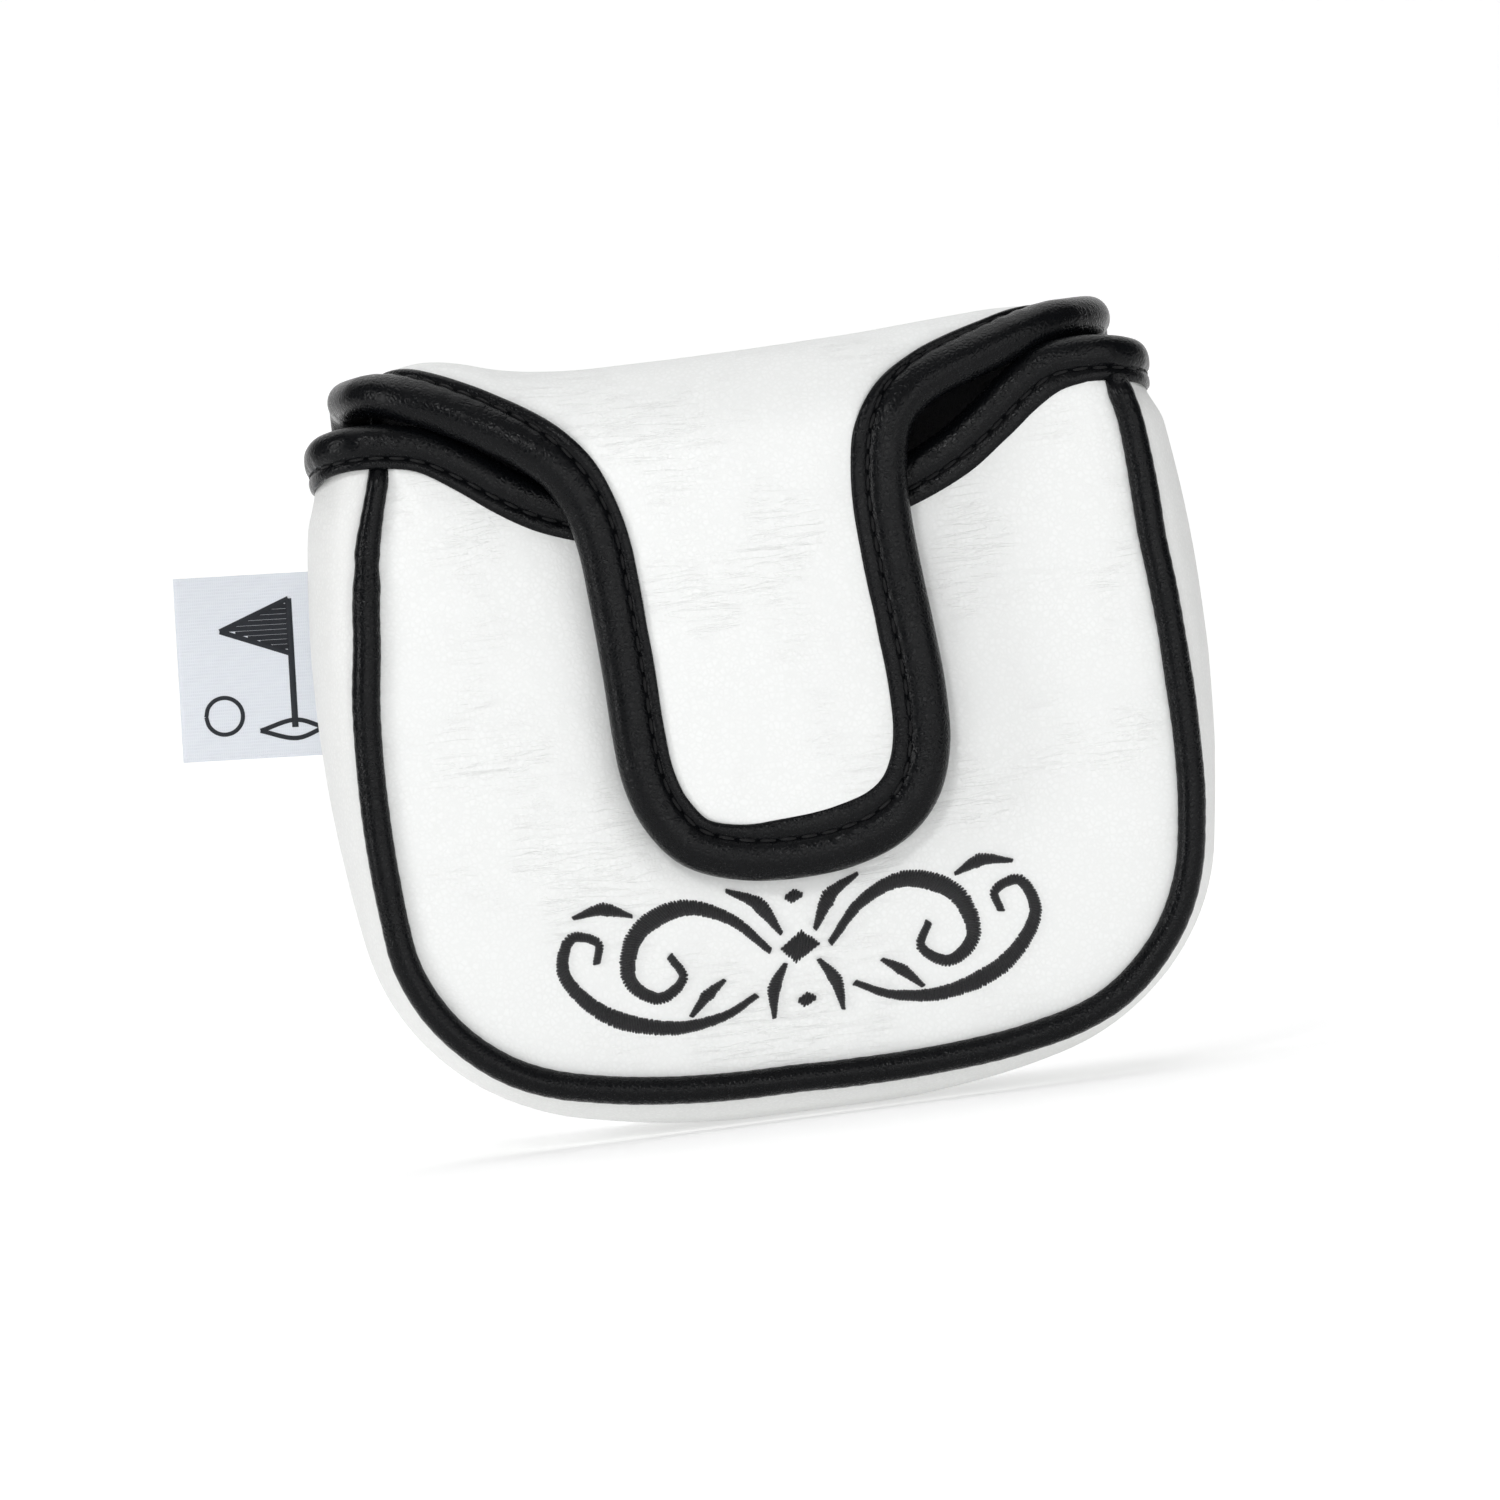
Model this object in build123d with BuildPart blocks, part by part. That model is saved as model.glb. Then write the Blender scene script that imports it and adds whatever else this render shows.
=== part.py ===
"""Head cover for a mallet putter: a padded pouch with a fold-over flap, in millimetres.

X runs across the cover, +Y towards its back and +Z up. The origin is the middle of the flat strip
of the gusset that the cover stands on. Three leather-cloth walls (front, gusset and back) are sewn
to each other over piping, each with padding and a lining behind it. The back wall carries on over
the top as the flap, and the flap ends in a tongue that magnets hold against the front wall.
"""

import math
import os

from build123d import *

# ---- Pouch, seen from the front ----
HALF_WIDTH = 67.0
WIDEST_Z = 66.75
BASE_FLAT_HALF = 8.0
BASE_RADIUS = 117.0
CORNER_RADIUS = 36.5
SIDE_RADIUS = 200.0
OUTLINE_TOP = 130.0

# ---- Pouch, seen from the side ----
DEPTH = 46.0
EDGE_RADIUS = 7.0
SEAM_INSET = 6.0

# ---- Layers of every wall, from the outside in ----
LEATHER = 1.1
PADDING = 2.2
LINING = 1.2
WALL = LEATHER + PADDING + LINING
LAYERS = {
    "leather": (0, LEATHER),
    "padding": (LEATHER, LEATHER + PADDING),
    "lining": (LEATHER + PADDING, WALL),
}

# ---- Piping in the seams ----
PIPING_RADIUS = 2.0
PIPING_CORD_RADIUS = 1.1
PIPING_SUNK = 0.6
PIPING_TOP = 103.4

# ---- Padded binding round the mouth and the flap ----
ROLL_RADIUS = 3.2
FILLER_RADIUS = 1.9
FRONT_WALL_MIDDLE = -(DEPTH - WALL) / 2
SIDE_WALL_MIDDLE = 61.7
MOUTH_DIP = [(12, 89), (31, 94.8), (46, 105)]
MOUTH_CORNER_Z = 107.3
MOUTH_BACK = (17, 106.4)

# ---- Flap: an arch in side view that clears the mouth's binding ----
SHOULDER = [(27.0, 104.5), (36.5, 110.6)]
TOP_CORNER_X = 47.5
ARCH_FRONT = -29.5
ARCH_TOP = 115.0
ARCH_FRONT_BEND = 14.25
ARCH_BACK_BEND = 8.5
FLAP_HALF = 55.8
HINGE_Z = 105.2
HINGE_GAP = 0.3
SHEET_INTO_ROLL = 1.4

# ---- Tongue: the lower end of the flap ----
TONGUE_HALF = 21.9
TONGUE_HINGE_Z = 100.3
TONGUE_END = 38.9
TONGUE_CORNER = 16.5

# ---- Magnets that close the tongue ----
MAGNET_RADIUS = 7.5
MAGNET_THICK = 1.9
MAGNET_X = 9.0
MAGNET_Z = 56.0
MAGNET_GAP = 0.1

# ---- Sewing thread beside the bindings ----
THREAD_RADIUS = 0.3
THREAD_FROM_ROLL = 1.3
THREAD_LIFT = 0.02

# ---- Woven label sewn into the back seam ----
LABEL_ROOT_X = -63.5
LABEL_LENGTH = 24.6
LABEL_LOW = 63.8
LABEL_HEIGHT = 28.4
LABEL_THICK = 0.8
LABEL_FRONT_Y = 22.5

# ---- Embroidered scroll on the front wall ----
SCROLL_HEIGHT = 0.5
SCROLL_WIDTH = 1.6
SCROLL_Z = 25.5
SCROLL_DIAMOND = 4.4
SCROLL_DOT = 1.1
SCROLL_STROKES = [
    [(4.6, 0), (10, 5.5), (17, 8), (24, 5), (26, -1.5), (22, -5), (18, -2.5), (19.5, 1)],
    [(7.5, -6.5), (13, -9), (21, -9.6), (30, -6.5), (35.5, 0), (34, 5.5), (30, 4.5), (30.5, 1.5)],
]


# ---- Where the arcs of the pouch's outline join ----
base_centre = Vector(BASE_FLAT_HALF, BASE_RADIUS)
side_centre = Vector(HALF_WIDTH - SIDE_RADIUS, WIDEST_Z)
base_reach = BASE_RADIUS - CORNER_RADIUS
side_reach = SIDE_RADIUS - CORNER_RADIUS
between = side_centre - base_centre
along = (base_reach**2 - side_reach**2 + between.length**2) / (2 * between.length)
across = math.sqrt(base_reach**2 - along**2)
towards = between.normalized()
corner_centre = base_centre + towards * along + Vector(-towards.Y, towards.X) * across


def heading(start, end):
    """Angle in degrees of the line from start to end."""
    return math.degrees(math.atan2(end.Y - start.Y, end.X - start.X))


base_end = heading(base_centre, corner_centre)
side_start = heading(side_centre, corner_centre)


def half_outline(inset, top):
    """Draws the right half of the pouch's outline, moved in by inset, up to the height top."""
    side_radius = SIDE_RADIUS - inset
    side_end = math.degrees(math.asin((top - WIDEST_Z) / side_radius))
    Line((0, inset), (BASE_FLAT_HALF, inset))
    CenterArc(base_centre, BASE_RADIUS - inset, -90, base_end + 90)
    CenterArc(corner_centre, CORNER_RADIUS - inset, base_end, side_start - base_end)
    return CenterArc(side_centre, side_radius, side_start, side_end - side_start)


def pouch_block(inset):
    """The pouch as a filled block, every face moved in by inset, its front and back edges round."""
    half_depth = DEPTH / 2 - inset
    with BuildPart() as block:
        with BuildSketch(Plane.XZ.offset(-half_depth)):
            with BuildLine():
                side = half_outline(inset, OUTLINE_TOP)
                Line(side @ 1, (0, OUTLINE_TOP))
                mirror(about=Plane.YZ)
            make_face()
        extrude(amount=2 * half_depth)
        faces = block.faces().sort_by(Axis.Y)
        fillet(faces[0].edges() + faces[-1].edges(), EDGE_RADIUS - inset)
    return block.part


def seam_prism():
    """Everything inside the seams, seen from the front."""
    with BuildPart() as prism:
        with BuildSketch(Plane.XZ.offset(-DEPTH)):
            with BuildLine():
                side = half_outline(SEAM_INSET, OUTLINE_TOP)
                Line(side @ 1, (0, OUTLINE_TOP))
                mirror(about=Plane.YZ)
            make_face()
        extrude(amount=2 * DEPTH)
    return prism.part


def roomy_radii(points, most=80.0):
    """For each corner of a route, the largest arc, up to most, that its two runs leave room for."""
    radii = []
    for before, corner, after in zip(points, points[1:], points[2:]):
        run_in, run_out = Vector(corner) - Vector(before), Vector(after) - Vector(corner)
        half_turn = math.radians(run_in.get_angle(run_out) / 2)
        room = 0.45 * min(run_in.length, run_out.length) / math.tan(half_turn)
        radii.append(min(most, room))
    return radii


def mirrored(right_half):
    """A route from left to right, given its right half from the middle outwards."""
    return [(-x, *rest) for x, *rest in reversed(right_half)] + right_half


def tube(points, radii, outer, inner=0.0):
    """A tube, or a solid cord if inner is 0, along straight runs joined by arcs."""
    with BuildPart() as swept:
        with BuildLine() as route:
            FilletPolyline(*points, radius=radii)
        with BuildSketch(Plane(origin=route.line @ 0, z_dir=route.line % 0)):
            Circle(outer)
            if inner:
                Circle(inner, mode=Mode.SUBTRACT)
        sweep()
    return swept.part


# ---- Routes of the bindings ----
mouth_front = [(x, FRONT_WALL_MIDDLE, z) for x, z in MOUTH_DIP]
mouth_sides = [
    (SIDE_WALL_MIDDLE, FRONT_WALL_MIDDLE, MOUTH_CORNER_Z),
    (SIDE_WALL_MIDDLE, *MOUTH_BACK),
]
mouth_route = mirrored(mouth_front + mouth_sides)
mouth_radii = roomy_radii(mouth_route)

arch_middle = ARCH_FRONT + WALL / 2
bend_middle = ARCH_FRONT_BEND - WALL / 2
bend_centre_y = ARCH_FRONT + ARCH_FRONT_BEND
bend_centre_z = ARCH_TOP - ARCH_FRONT_BEND


def on_arch(x, z):
    """The point at x and height z on the middle of the flap's front bend."""
    rise = max(0.0, z - bend_centre_z)
    return (x, bend_centre_y - math.sqrt(bend_middle**2 - rise**2), z)


flap_route = mirrored([
    (TONGUE_HALF, arch_middle, TONGUE_END),
    (TONGUE_HALF, arch_middle, 94.5),
    *[on_arch(x, z) for x, z in SHOULDER],
    (TOP_CORNER_X, bend_centre_y, 113.0),
    (FLAP_HALF, -11.0, 113.9),
    (FLAP_HALF, 13.0, 113.9),
    (FLAP_HALF - 0.6, 19.2, 109.6),
])


def above_mouth():
    """Everything above the line of the mouth's binding, over the whole depth."""
    with BuildPart() as cutter:
        with BuildSketch(Plane.XZ.offset(-DEPTH)):
            with BuildLine():
                ends = [(HALF_WIDTH + 10, MOUTH_CORNER_Z)]
                line = mirrored(MOUTH_DIP + [(SIDE_WALL_MIDDLE, MOUTH_CORNER_Z)] + ends)[1:-1]
                curve = FilletPolyline(*line, radius=roomy_radii([(x, z) for x, z in line]))
                left, right = curve @ 0, curve @ 1
                top = OUTLINE_TOP + 5
                far = HALF_WIDTH + 10
                Polyline(
                    left, (-far, MOUTH_CORNER_Z), (-far, top), (far, top),
                    (far, MOUTH_CORNER_Z), right,
                )
            make_face()
        extrude(amount=2 * DEPTH)
    return cutter.part


def slab(low, high):
    """A block between two opposite corners."""
    middle = tuple((a + b) / 2 for a, b in zip(low, high))
    size = [b - a for a, b in zip(low, high)]
    with BuildPart() as block:
        with Locations(middle):
            Box(*size)
    return block.part


def magnets(front_y):
    """The two magnet discs of one side of the closure, from the plane front_y backwards."""
    with BuildPart() as discs:
        with BuildSketch(Plane.XZ.offset(-front_y - MAGNET_THICK)):
            with Locations((-MAGNET_X, MAGNET_Z), (MAGNET_X, MAGNET_Z)):
                Circle(MAGNET_RADIUS)
        extrude(amount=MAGNET_THICK)
    return discs.part


def magnet_pockets(front_y):
    """The room cut in the padding for the two magnets."""
    with BuildPart() as pockets:
        with BuildSketch(Plane.XZ.offset(-front_y - PADDING)):
            with Locations((-MAGNET_X, MAGNET_Z), (MAGNET_X, MAGNET_Z)):
                Circle(MAGNET_RADIUS + MAGNET_GAP)
        extrude(amount=PADDING)
    return pockets.part


def save(part, name):
    part.label = name
    export_step(part, f"parts/{name}.step")


os.makedirs("parts", exist_ok=True)

# ---- Piping, sewn into the front and back seams ----
piping_solid = {}
for side, sign in (("front", -1), ("back", 1)):
    plane_y = sign * (DEPTH / 2 - PIPING_SUNK)
    with BuildLine() as seam:
        half_outline(SEAM_INSET, PIPING_TOP)
        mirror(about=Plane.YZ)
    path = seam.wire().moved(Plane.XZ.offset(-plane_y).location)
    start = Plane(origin=path @ 0, z_dir=path % 0)
    with BuildPart() as solid_piping:
        with BuildSketch(start):
            Circle(PIPING_RADIUS)
        sweep(path=path)
    with BuildPart() as piping_cord:
        with BuildSketch(start):
            Circle(PIPING_CORD_RADIUS)
        sweep(path=path)
    with BuildPart() as piping:
        add(solid_piping.part)
        add(piping_cord.part, mode=Mode.SUBTRACT)
    piping_solid[side] = solid_piping.part
    save(piping.part, f"{side}_piping")
    save(piping_cord.part, f"{side}_piping_cord")

# ---- Binding round the mouth ----
mouth_solid = tube(mouth_route, mouth_radii, ROLL_RADIUS)
save(tube(mouth_route, mouth_radii, ROLL_RADIUS, FILLER_RADIUS), "mouth_binding")
save(tube(mouth_route, mouth_radii, FILLER_RADIUS), "mouth_binding_filler")

# ---- Pouch: front wall, gusset and back wall, each in three layers ----
blocks = {inset: pouch_block(inset) for inset in (0, LEATHER, LEATHER + PADDING, WALL)}
inside_seams = seam_prism()
with BuildPart() as mouth_cutter:
    add(above_mouth())
    add(mouth_solid)
far = 2 * HALF_WIDTH
front_half = slab((-far, -far, -far), (far, 0, far))
back_half = slab((-far, 0, -far), (far, far, HINGE_Z - HINGE_GAP))
panel_names = {"leather": "panel", "padding": "padding", "lining": "lining"}
band_names = {"leather": "band", "padding": "padding", "lining": "lining"}

for layer, (outer, inner) in LAYERS.items():
    with BuildPart() as shell:
        add(blocks[outer])
        add(blocks[inner], mode=Mode.SUBTRACT)
    with BuildPart() as front:
        add(shell.part)
        add(inside_seams, mode=Mode.INTERSECT)
        add(front_half, mode=Mode.INTERSECT)
        add(mouth_cutter.part, mode=Mode.SUBTRACT)
        add(piping_solid["front"], mode=Mode.SUBTRACT)
        if layer == "padding":
            add(magnet_pockets(-DEPTH / 2 + LEATHER), mode=Mode.SUBTRACT)
    with BuildPart() as gusset:
        add(shell.part)
        add(inside_seams, mode=Mode.SUBTRACT)
        add(mouth_cutter.part, mode=Mode.SUBTRACT)
        add(piping_solid["front"], mode=Mode.SUBTRACT)
        add(piping_solid["back"], mode=Mode.SUBTRACT)
    with BuildPart() as back:
        add(shell.part)
        add(inside_seams, mode=Mode.INTERSECT)
        add(back_half, mode=Mode.INTERSECT)
        add(piping_solid["back"], mode=Mode.SUBTRACT)
    save(front.part, f"front_{panel_names[layer]}")
    save(gusset.part, f"gusset_{band_names[layer]}")
    save(back.part, f"back_{panel_names[layer]}")

save(magnets(-DEPTH / 2 + LEATHER + MAGNET_GAP), "pouch_magnets")

# ---- Binding round the flap and the tongue, in one run that is cut where the tongue bends ----
above_tongue = slab((-far, -far, TONGUE_HINGE_Z + HINGE_GAP), (far, far, far))
below_hinge = slab((-far, -far, 0), (far, 0, TONGUE_HINGE_Z - HINGE_GAP))
flap_radii = roomy_radii(flap_route)
middle_corners = len(flap_radii) // 2
flap_radii[middle_corners - 1] = TONGUE_CORNER
flap_radii[middle_corners] = TONGUE_CORNER
flap_roll_solid = tube(flap_route, flap_radii, ROLL_RADIUS)
binding_runs = {
    "binding": tube(flap_route, flap_radii, ROLL_RADIUS, FILLER_RADIUS),
    "binding_filler": tube(flap_route, flap_radii, FILLER_RADIUS),
}
for name, run in binding_runs.items():
    with BuildPart() as flap_part:
        add(run)
        add(above_tongue, mode=Mode.INTERSECT)
    with BuildPart() as tongue_part:
        add(run)
        add(below_hinge, mode=Mode.INTERSECT)
    save(flap_part.part, f"flap_{name}")
    save(tongue_part.part, f"tongue_{name}")


# ---- Flap and tongue sheets ----
def arch_block(inset):
    """Everything under the flap's arch, its faces moved in by inset."""
    with BuildPart() as block:
        with BuildSketch(Plane.YZ):
            with BuildLine():
                front, top, rear = ARCH_FRONT + inset, ARCH_TOP - inset, DEPTH / 2 - inset
                arch = FilletPolyline(
                    (front, 0), (front, top), (rear, top), (rear, 0),
                    radius=[ARCH_FRONT_BEND - inset, ARCH_BACK_BEND - inset],
                )
                Line(arch @ 1, arch @ 0)
            make_face()
        extrude(amount=far, both=True)
    return block.part


def front_outline():
    """The flap's and tongue's outline seen from the front, ending inside their binding."""
    half = TONGUE_HALF - SHEET_INTO_ROLL
    end = TONGUE_END + SHEET_INTO_ROLL
    corner = TOP_CORNER_X - SHEET_INTO_ROLL
    side = [(half, end), (half, 94.5)]
    side += [(x - SHEET_INTO_ROLL * 0.7, z + SHEET_INTO_ROLL) for x, z in SHOULDER]
    side += [(corner, ARCH_TOP - 0.1), (corner, OUTLINE_TOP)]
    with BuildPart() as prism:
        with BuildSketch(Plane.XZ.offset(-bend_centre_y)) as outline:
            with BuildLine():
                Polyline(*mirrored(side), close=True)
            make_face()
            fillet(outline.vertices().group_by(Axis.Y)[0], TONGUE_CORNER - SHEET_INTO_ROLL)
        extrude(amount=DEPTH)
    return prism.part


def top_outline():
    """The flap's outline seen from above, behind its front bend and above the hinge."""
    corner = TOP_CORNER_X - SHEET_INTO_ROLL
    edge = FLAP_HALF - SHEET_INTO_ROLL
    side = [(corner, bend_centre_y), (edge, -10.4), (edge, DEPTH)]
    with BuildPart() as prism:
        with BuildSketch(Plane.XY.offset(HINGE_Z + HINGE_GAP)):
            with BuildLine():
                Polyline(*mirrored(side), close=True)
            make_face()
        extrude(amount=OUTLINE_TOP)
    return prism.part


front_shape = front_outline()
top_shape = top_outline()
sheet_names = {"leather": "cover", "padding": "padding", "lining": "lining"}
magnet_front = ARCH_FRONT + LEATHER

for layer, (outer, inner) in LAYERS.items():
    with BuildPart() as sheet:
        add(arch_block(outer))
        add(arch_block(inner), mode=Mode.SUBTRACT)
    with BuildPart() as flap_top:
        add(sheet.part)
        add(top_shape, mode=Mode.INTERSECT)
    with BuildPart() as flap:
        add(sheet.part)
        add(front_shape, mode=Mode.INTERSECT)
        add(above_tongue, mode=Mode.INTERSECT)
        add(flap_top.part)
        add(flap_roll_solid, mode=Mode.SUBTRACT)
    with BuildPart() as tongue:
        add(sheet.part)
        add(front_shape, mode=Mode.INTERSECT)
        add(below_hinge, mode=Mode.INTERSECT)
        add(flap_roll_solid, mode=Mode.SUBTRACT)
        if layer == "padding":
            add(magnet_pockets(magnet_front), mode=Mode.SUBTRACT)
    save(flap.part, f"flap_{sheet_names[layer]}")
    save(tongue.part, f"tongue_{sheet_names[layer]}")

save(magnets(magnet_front + MAGNET_GAP), "tongue_magnets")

# ---- Thread that holds the bindings on ----
thread_out = ROLL_RADIUS + THREAD_FROM_ROLL
thread_lift = THREAD_RADIUS + THREAD_LIFT
thread_half = TONGUE_HALF - thread_out
thread_end = TONGUE_END + thread_out
tongue_thread_y = ARCH_FRONT - thread_lift
tongue_thread = [
    (-thread_half, tongue_thread_y, TONGUE_HINGE_Z - HINGE_GAP),
    (-thread_half, tongue_thread_y, thread_end),
    (thread_half, tongue_thread_y, thread_end),
    (thread_half, tongue_thread_y, TONGUE_HINGE_Z - HINGE_GAP),
]
save(tube(tongue_thread, [TONGUE_CORNER - thread_out] * 2, THREAD_RADIUS), "tongue_thread")

mouth_thread_y = -DEPTH / 2 - thread_lift
mouth_thread_half = [(12, 84.4), (32.5, 90.8), (47, 100.6)]
mouth_thread = mirrored([(x, mouth_thread_y, z) for x, z in mouth_thread_half])
save(tube(mouth_thread, roomy_radii(mouth_thread), THREAD_RADIUS), "mouth_thread")

# ---- Woven label, folded once, sewn into the back seam ----
with BuildPart() as label:
    with BuildSketch(Plane.XY.offset(LABEL_LOW)) as fold:
        with Locations((LABEL_ROOT_X - LABEL_LENGTH / 2, LABEL_FRONT_Y + LABEL_THICK / 2)):
            Rectangle(LABEL_LENGTH, LABEL_THICK)
        fillet(fold.vertices().group_by(Axis.X)[0], LABEL_THICK * 0.45)
    extrude(amount=LABEL_HEIGHT)
save(label.part, "side_label")

# ---- Embroidered scroll: a diamond between two arms that end in curls ----
with BuildPart() as embroidery:
    with BuildSketch(Plane.XZ.offset(DEPTH / 2)):
        for stroke in SCROLL_STROKES:
            with BuildLine() as arm:
                Spline(*[(x, SCROLL_Z + z) for x, z in stroke])
                mirror(about=Plane.YZ)
            trace(line_width=SCROLL_WIDTH)
        with Locations((0, SCROLL_Z)):
            Rectangle(SCROLL_DIAMOND, SCROLL_DIAMOND, rotation=45)
        with Locations((0, SCROLL_Z + 7.5), (0, SCROLL_Z - 7.5)):
            Circle(SCROLL_DOT)
    extrude(amount=SCROLL_HEIGHT)
save(embroidery.part, "front_embroidery")
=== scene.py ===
"""Looks of the putter head cover: its sewn, padded and woven pieces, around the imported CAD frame.

Lengths in this script are millimetres, in the part's own frame, and become metres when a mesh is made.
The front walls face -Y, the cover stands on z = 0 and X runs to the right seen from the front.
"""

import math

import bmesh
import bpy
import numpy as np
from mathutils import Matrix, Vector, noise


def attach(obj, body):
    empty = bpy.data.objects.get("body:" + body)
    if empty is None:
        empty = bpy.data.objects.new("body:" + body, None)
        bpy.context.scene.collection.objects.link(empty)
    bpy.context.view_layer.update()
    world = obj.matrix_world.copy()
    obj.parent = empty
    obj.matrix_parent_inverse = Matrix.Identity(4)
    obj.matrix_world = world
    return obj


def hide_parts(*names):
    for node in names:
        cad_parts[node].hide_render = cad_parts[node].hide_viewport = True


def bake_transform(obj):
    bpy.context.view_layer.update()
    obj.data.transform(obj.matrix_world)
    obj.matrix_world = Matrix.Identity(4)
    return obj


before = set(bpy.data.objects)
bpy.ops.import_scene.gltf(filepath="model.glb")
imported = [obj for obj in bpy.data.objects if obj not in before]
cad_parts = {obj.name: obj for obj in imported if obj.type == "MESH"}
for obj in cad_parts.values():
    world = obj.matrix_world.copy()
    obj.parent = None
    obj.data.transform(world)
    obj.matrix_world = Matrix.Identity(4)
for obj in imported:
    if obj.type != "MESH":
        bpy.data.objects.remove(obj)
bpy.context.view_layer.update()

MM = 0.001

# ---------------------------------------------------------------- sizes

# The pouch's outline seen from the front, as in the CAD
BASE_FLAT, BASE_R, CORNER_R, SIDE_R = 8.0, 117.0, 36.5, 200.0
HALF_WIDTH, WIDEST_Z = 67.0, 66.75
SIDE_TOP = 107.0
HALF_DEPTH = 23.0
PIPING_Y, PIPING_R = 22.4, 2.12
GUSSET_THICK, LINING_GAP = 3.2, 3.45

# The flap's arch seen from the side: its outer face
ARCH_FRONT, ARCH_TOP, FRONT_BEND, BACK_BEND = -29.5, 115.0, 14.25, 8.5
WALL = 4.5
BEND_Z = ARCH_TOP - FRONT_BEND
BEND_Y = ARCH_FRONT + FRONT_BEND
Q_TOP = BEND_Z + FRONT_BEND * math.pi / 2
Q_BACK = Q_TOP + (HALF_DEPTH - BACK_BEND) - BEND_Y
Q_DOWN = Q_BACK + BACK_BEND * math.pi / 2
Q_SPLIT = Q_TOP + 17.0

# Where the walls end under the binding round the mouth
FRONT_SEAM_TOP, BACK_SEAM_TOP, GUSSET_TOP, LINING_TOP = 103.5, 104.0, 105.0, 100.0

# The faces of the pouch's walls: the front wall's inner one, and where the lining's front lies
FRONT_INNER_Y, LINING_FRONT_Y, LINING_BACK_Y = -19.72, -19.6, -18.5
PATCH_CENTRE = np.array([0.0, 46.0])
FLAP_CENTRE = np.array([0.0, 112.0])

# The faces of the flap's layers, from the middle of its wall outwards
COVER_INNER, LINING_OUTER, LINING_INNER = -1.0, -1.05, -2.3

# Where cloth bends as a joint turns, in metres: the fold starts at the first point and ends at the second
TONGUE_BEND = ("flap", "tongue", (0, -0.0295, 0.1050), (0, -0.0295, 0.0955))
FLAP_BEND = ("pouch", "flap", (0, 0.023, 0.0975), (0, 0.023, 0.1125))
LABEL_BEND = ("pouch", "label", (-0.0635, 0.0229, 0.078), (-0.0700, 0.0229, 0.078))

SHARP_ANGLE = math.radians(62)

# ---------------------------------------------------------------- small tools

def smooth(a, b, x):
    """0 below a, 1 above b, and a smooth rise between."""
    t = np.clip((np.asarray(x, float) - a) / (b - a), 0, 1)
    return t * t * (3 - 2 * t)

def spline(points, count):
    """A smooth curve through points, sampled evenly along its length."""
    p = np.asarray(points, float)
    p = np.vstack([2 * p[0] - p[1], p, 2 * p[-1] - p[-2]])
    u = np.linspace(0, 1, 40, endpoint=False)[:, None]
    runs = []
    for a, b, c, d in zip(p, p[1:], p[2:], p[3:]):
        curve = 2 * b + (c - a) * u + (2 * a - 5 * b + 4 * c - d) * u**2 + (3 * b - a - 3 * c + d) * u**3
        runs.append(0.5 * curve)
    return evenly(np.vstack([*runs, p[-2:-1]]), count)

def evenly(p, count):
    """The polyline p sampled at count points an equal distance apart."""
    s = length_along(p)
    t = np.linspace(0, s[-1], count)
    return np.stack([np.interp(t, s, p[:, i]) for i in range(p.shape[1])], 1)

def length_along(p):
    """How far along the polyline p each of its points lies."""
    return np.concatenate([[0], np.cumsum(np.linalg.norm(np.diff(p, axis=0), axis=1))])

def unit(v):
    return v / np.maximum(np.linalg.norm(v, axis=-1, keepdims=True), 1e-12)

def bumps(p, size, seed=0.0):
    """Smooth noise from -1 to 1 at each point, with lumps about size across."""
    q = np.asarray(p, float) / size + seed * 17.31
    if q.shape[1] == 2:
        q = np.column_stack([q, np.full(len(q), seed)])
    return np.array([noise.noise(Vector(v)) for v in q])

def distance_to(p, line, closed=False):
    """Distance from each 2-D point of p to a polyline."""
    a = line
    b = np.roll(line, -1, axis=0) if closed else line[1:]
    a = a if closed else a[:-1]
    best = np.full(len(p), 1e9)
    ab = b - a
    span = np.maximum((ab**2).sum(1), 1e-12)
    for lo in range(0, len(p), 4000):
        q = p[lo : lo + 4000, None, :] - a[None]
        t = np.clip((q * ab[None]).sum(2) / span[None], 0, 1)
        d = np.linalg.norm(q - ab[None] * t[..., None], axis=2)
        best[lo : lo + 4000] = d.min(1)
    return best

def mesh(name, verts, faces, grain=None, body=None):
    """A smooth-shaded mesh from points in millimetres. grain is each point's place on the flat material."""
    data = bpy.data.meshes.new(name)
    data.from_pydata((np.asarray(verts) * MM).tolist(), [], [list(map(int, f)) for f in faces])
    attribute = data.attributes.new("grain", "FLOAT_VECTOR", "POINT")
    g = np.zeros((len(verts), 3)) if grain is None else np.asarray(grain, float)
    if g.shape[1] == 2:
        g = np.column_stack([g, np.zeros(len(g))])
    attribute.data.foreach_set("vector", g.astype(np.float32).ravel())
    b = bmesh.new()
    b.from_mesh(data)
    bmesh.ops.recalc_face_normals(b, faces=b.faces)
    b.to_mesh(data)
    b.free()
    data.polygons.foreach_set("use_smooth", [True] * len(data.polygons))
    data.set_sharp_from_angle(angle=SHARP_ANGLE)
    made = bpy.data.objects.new(name, data)
    bpy.context.scene.collection.objects.link(made)
    if body:
        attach(made, body)
    return made

def grid_faces(rows, columns, wrap=False):
    """Quads over a grid of rows x columns points, numbered row by row."""
    faces = []
    last = columns if wrap else columns - 1
    for r in range(rows - 1):
        for c in range(last):
            d = (c + 1) % columns
            a = r * columns
            faces.append((a + c, a + d, a + columns + d, a + columns + c))
    return faces

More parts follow.
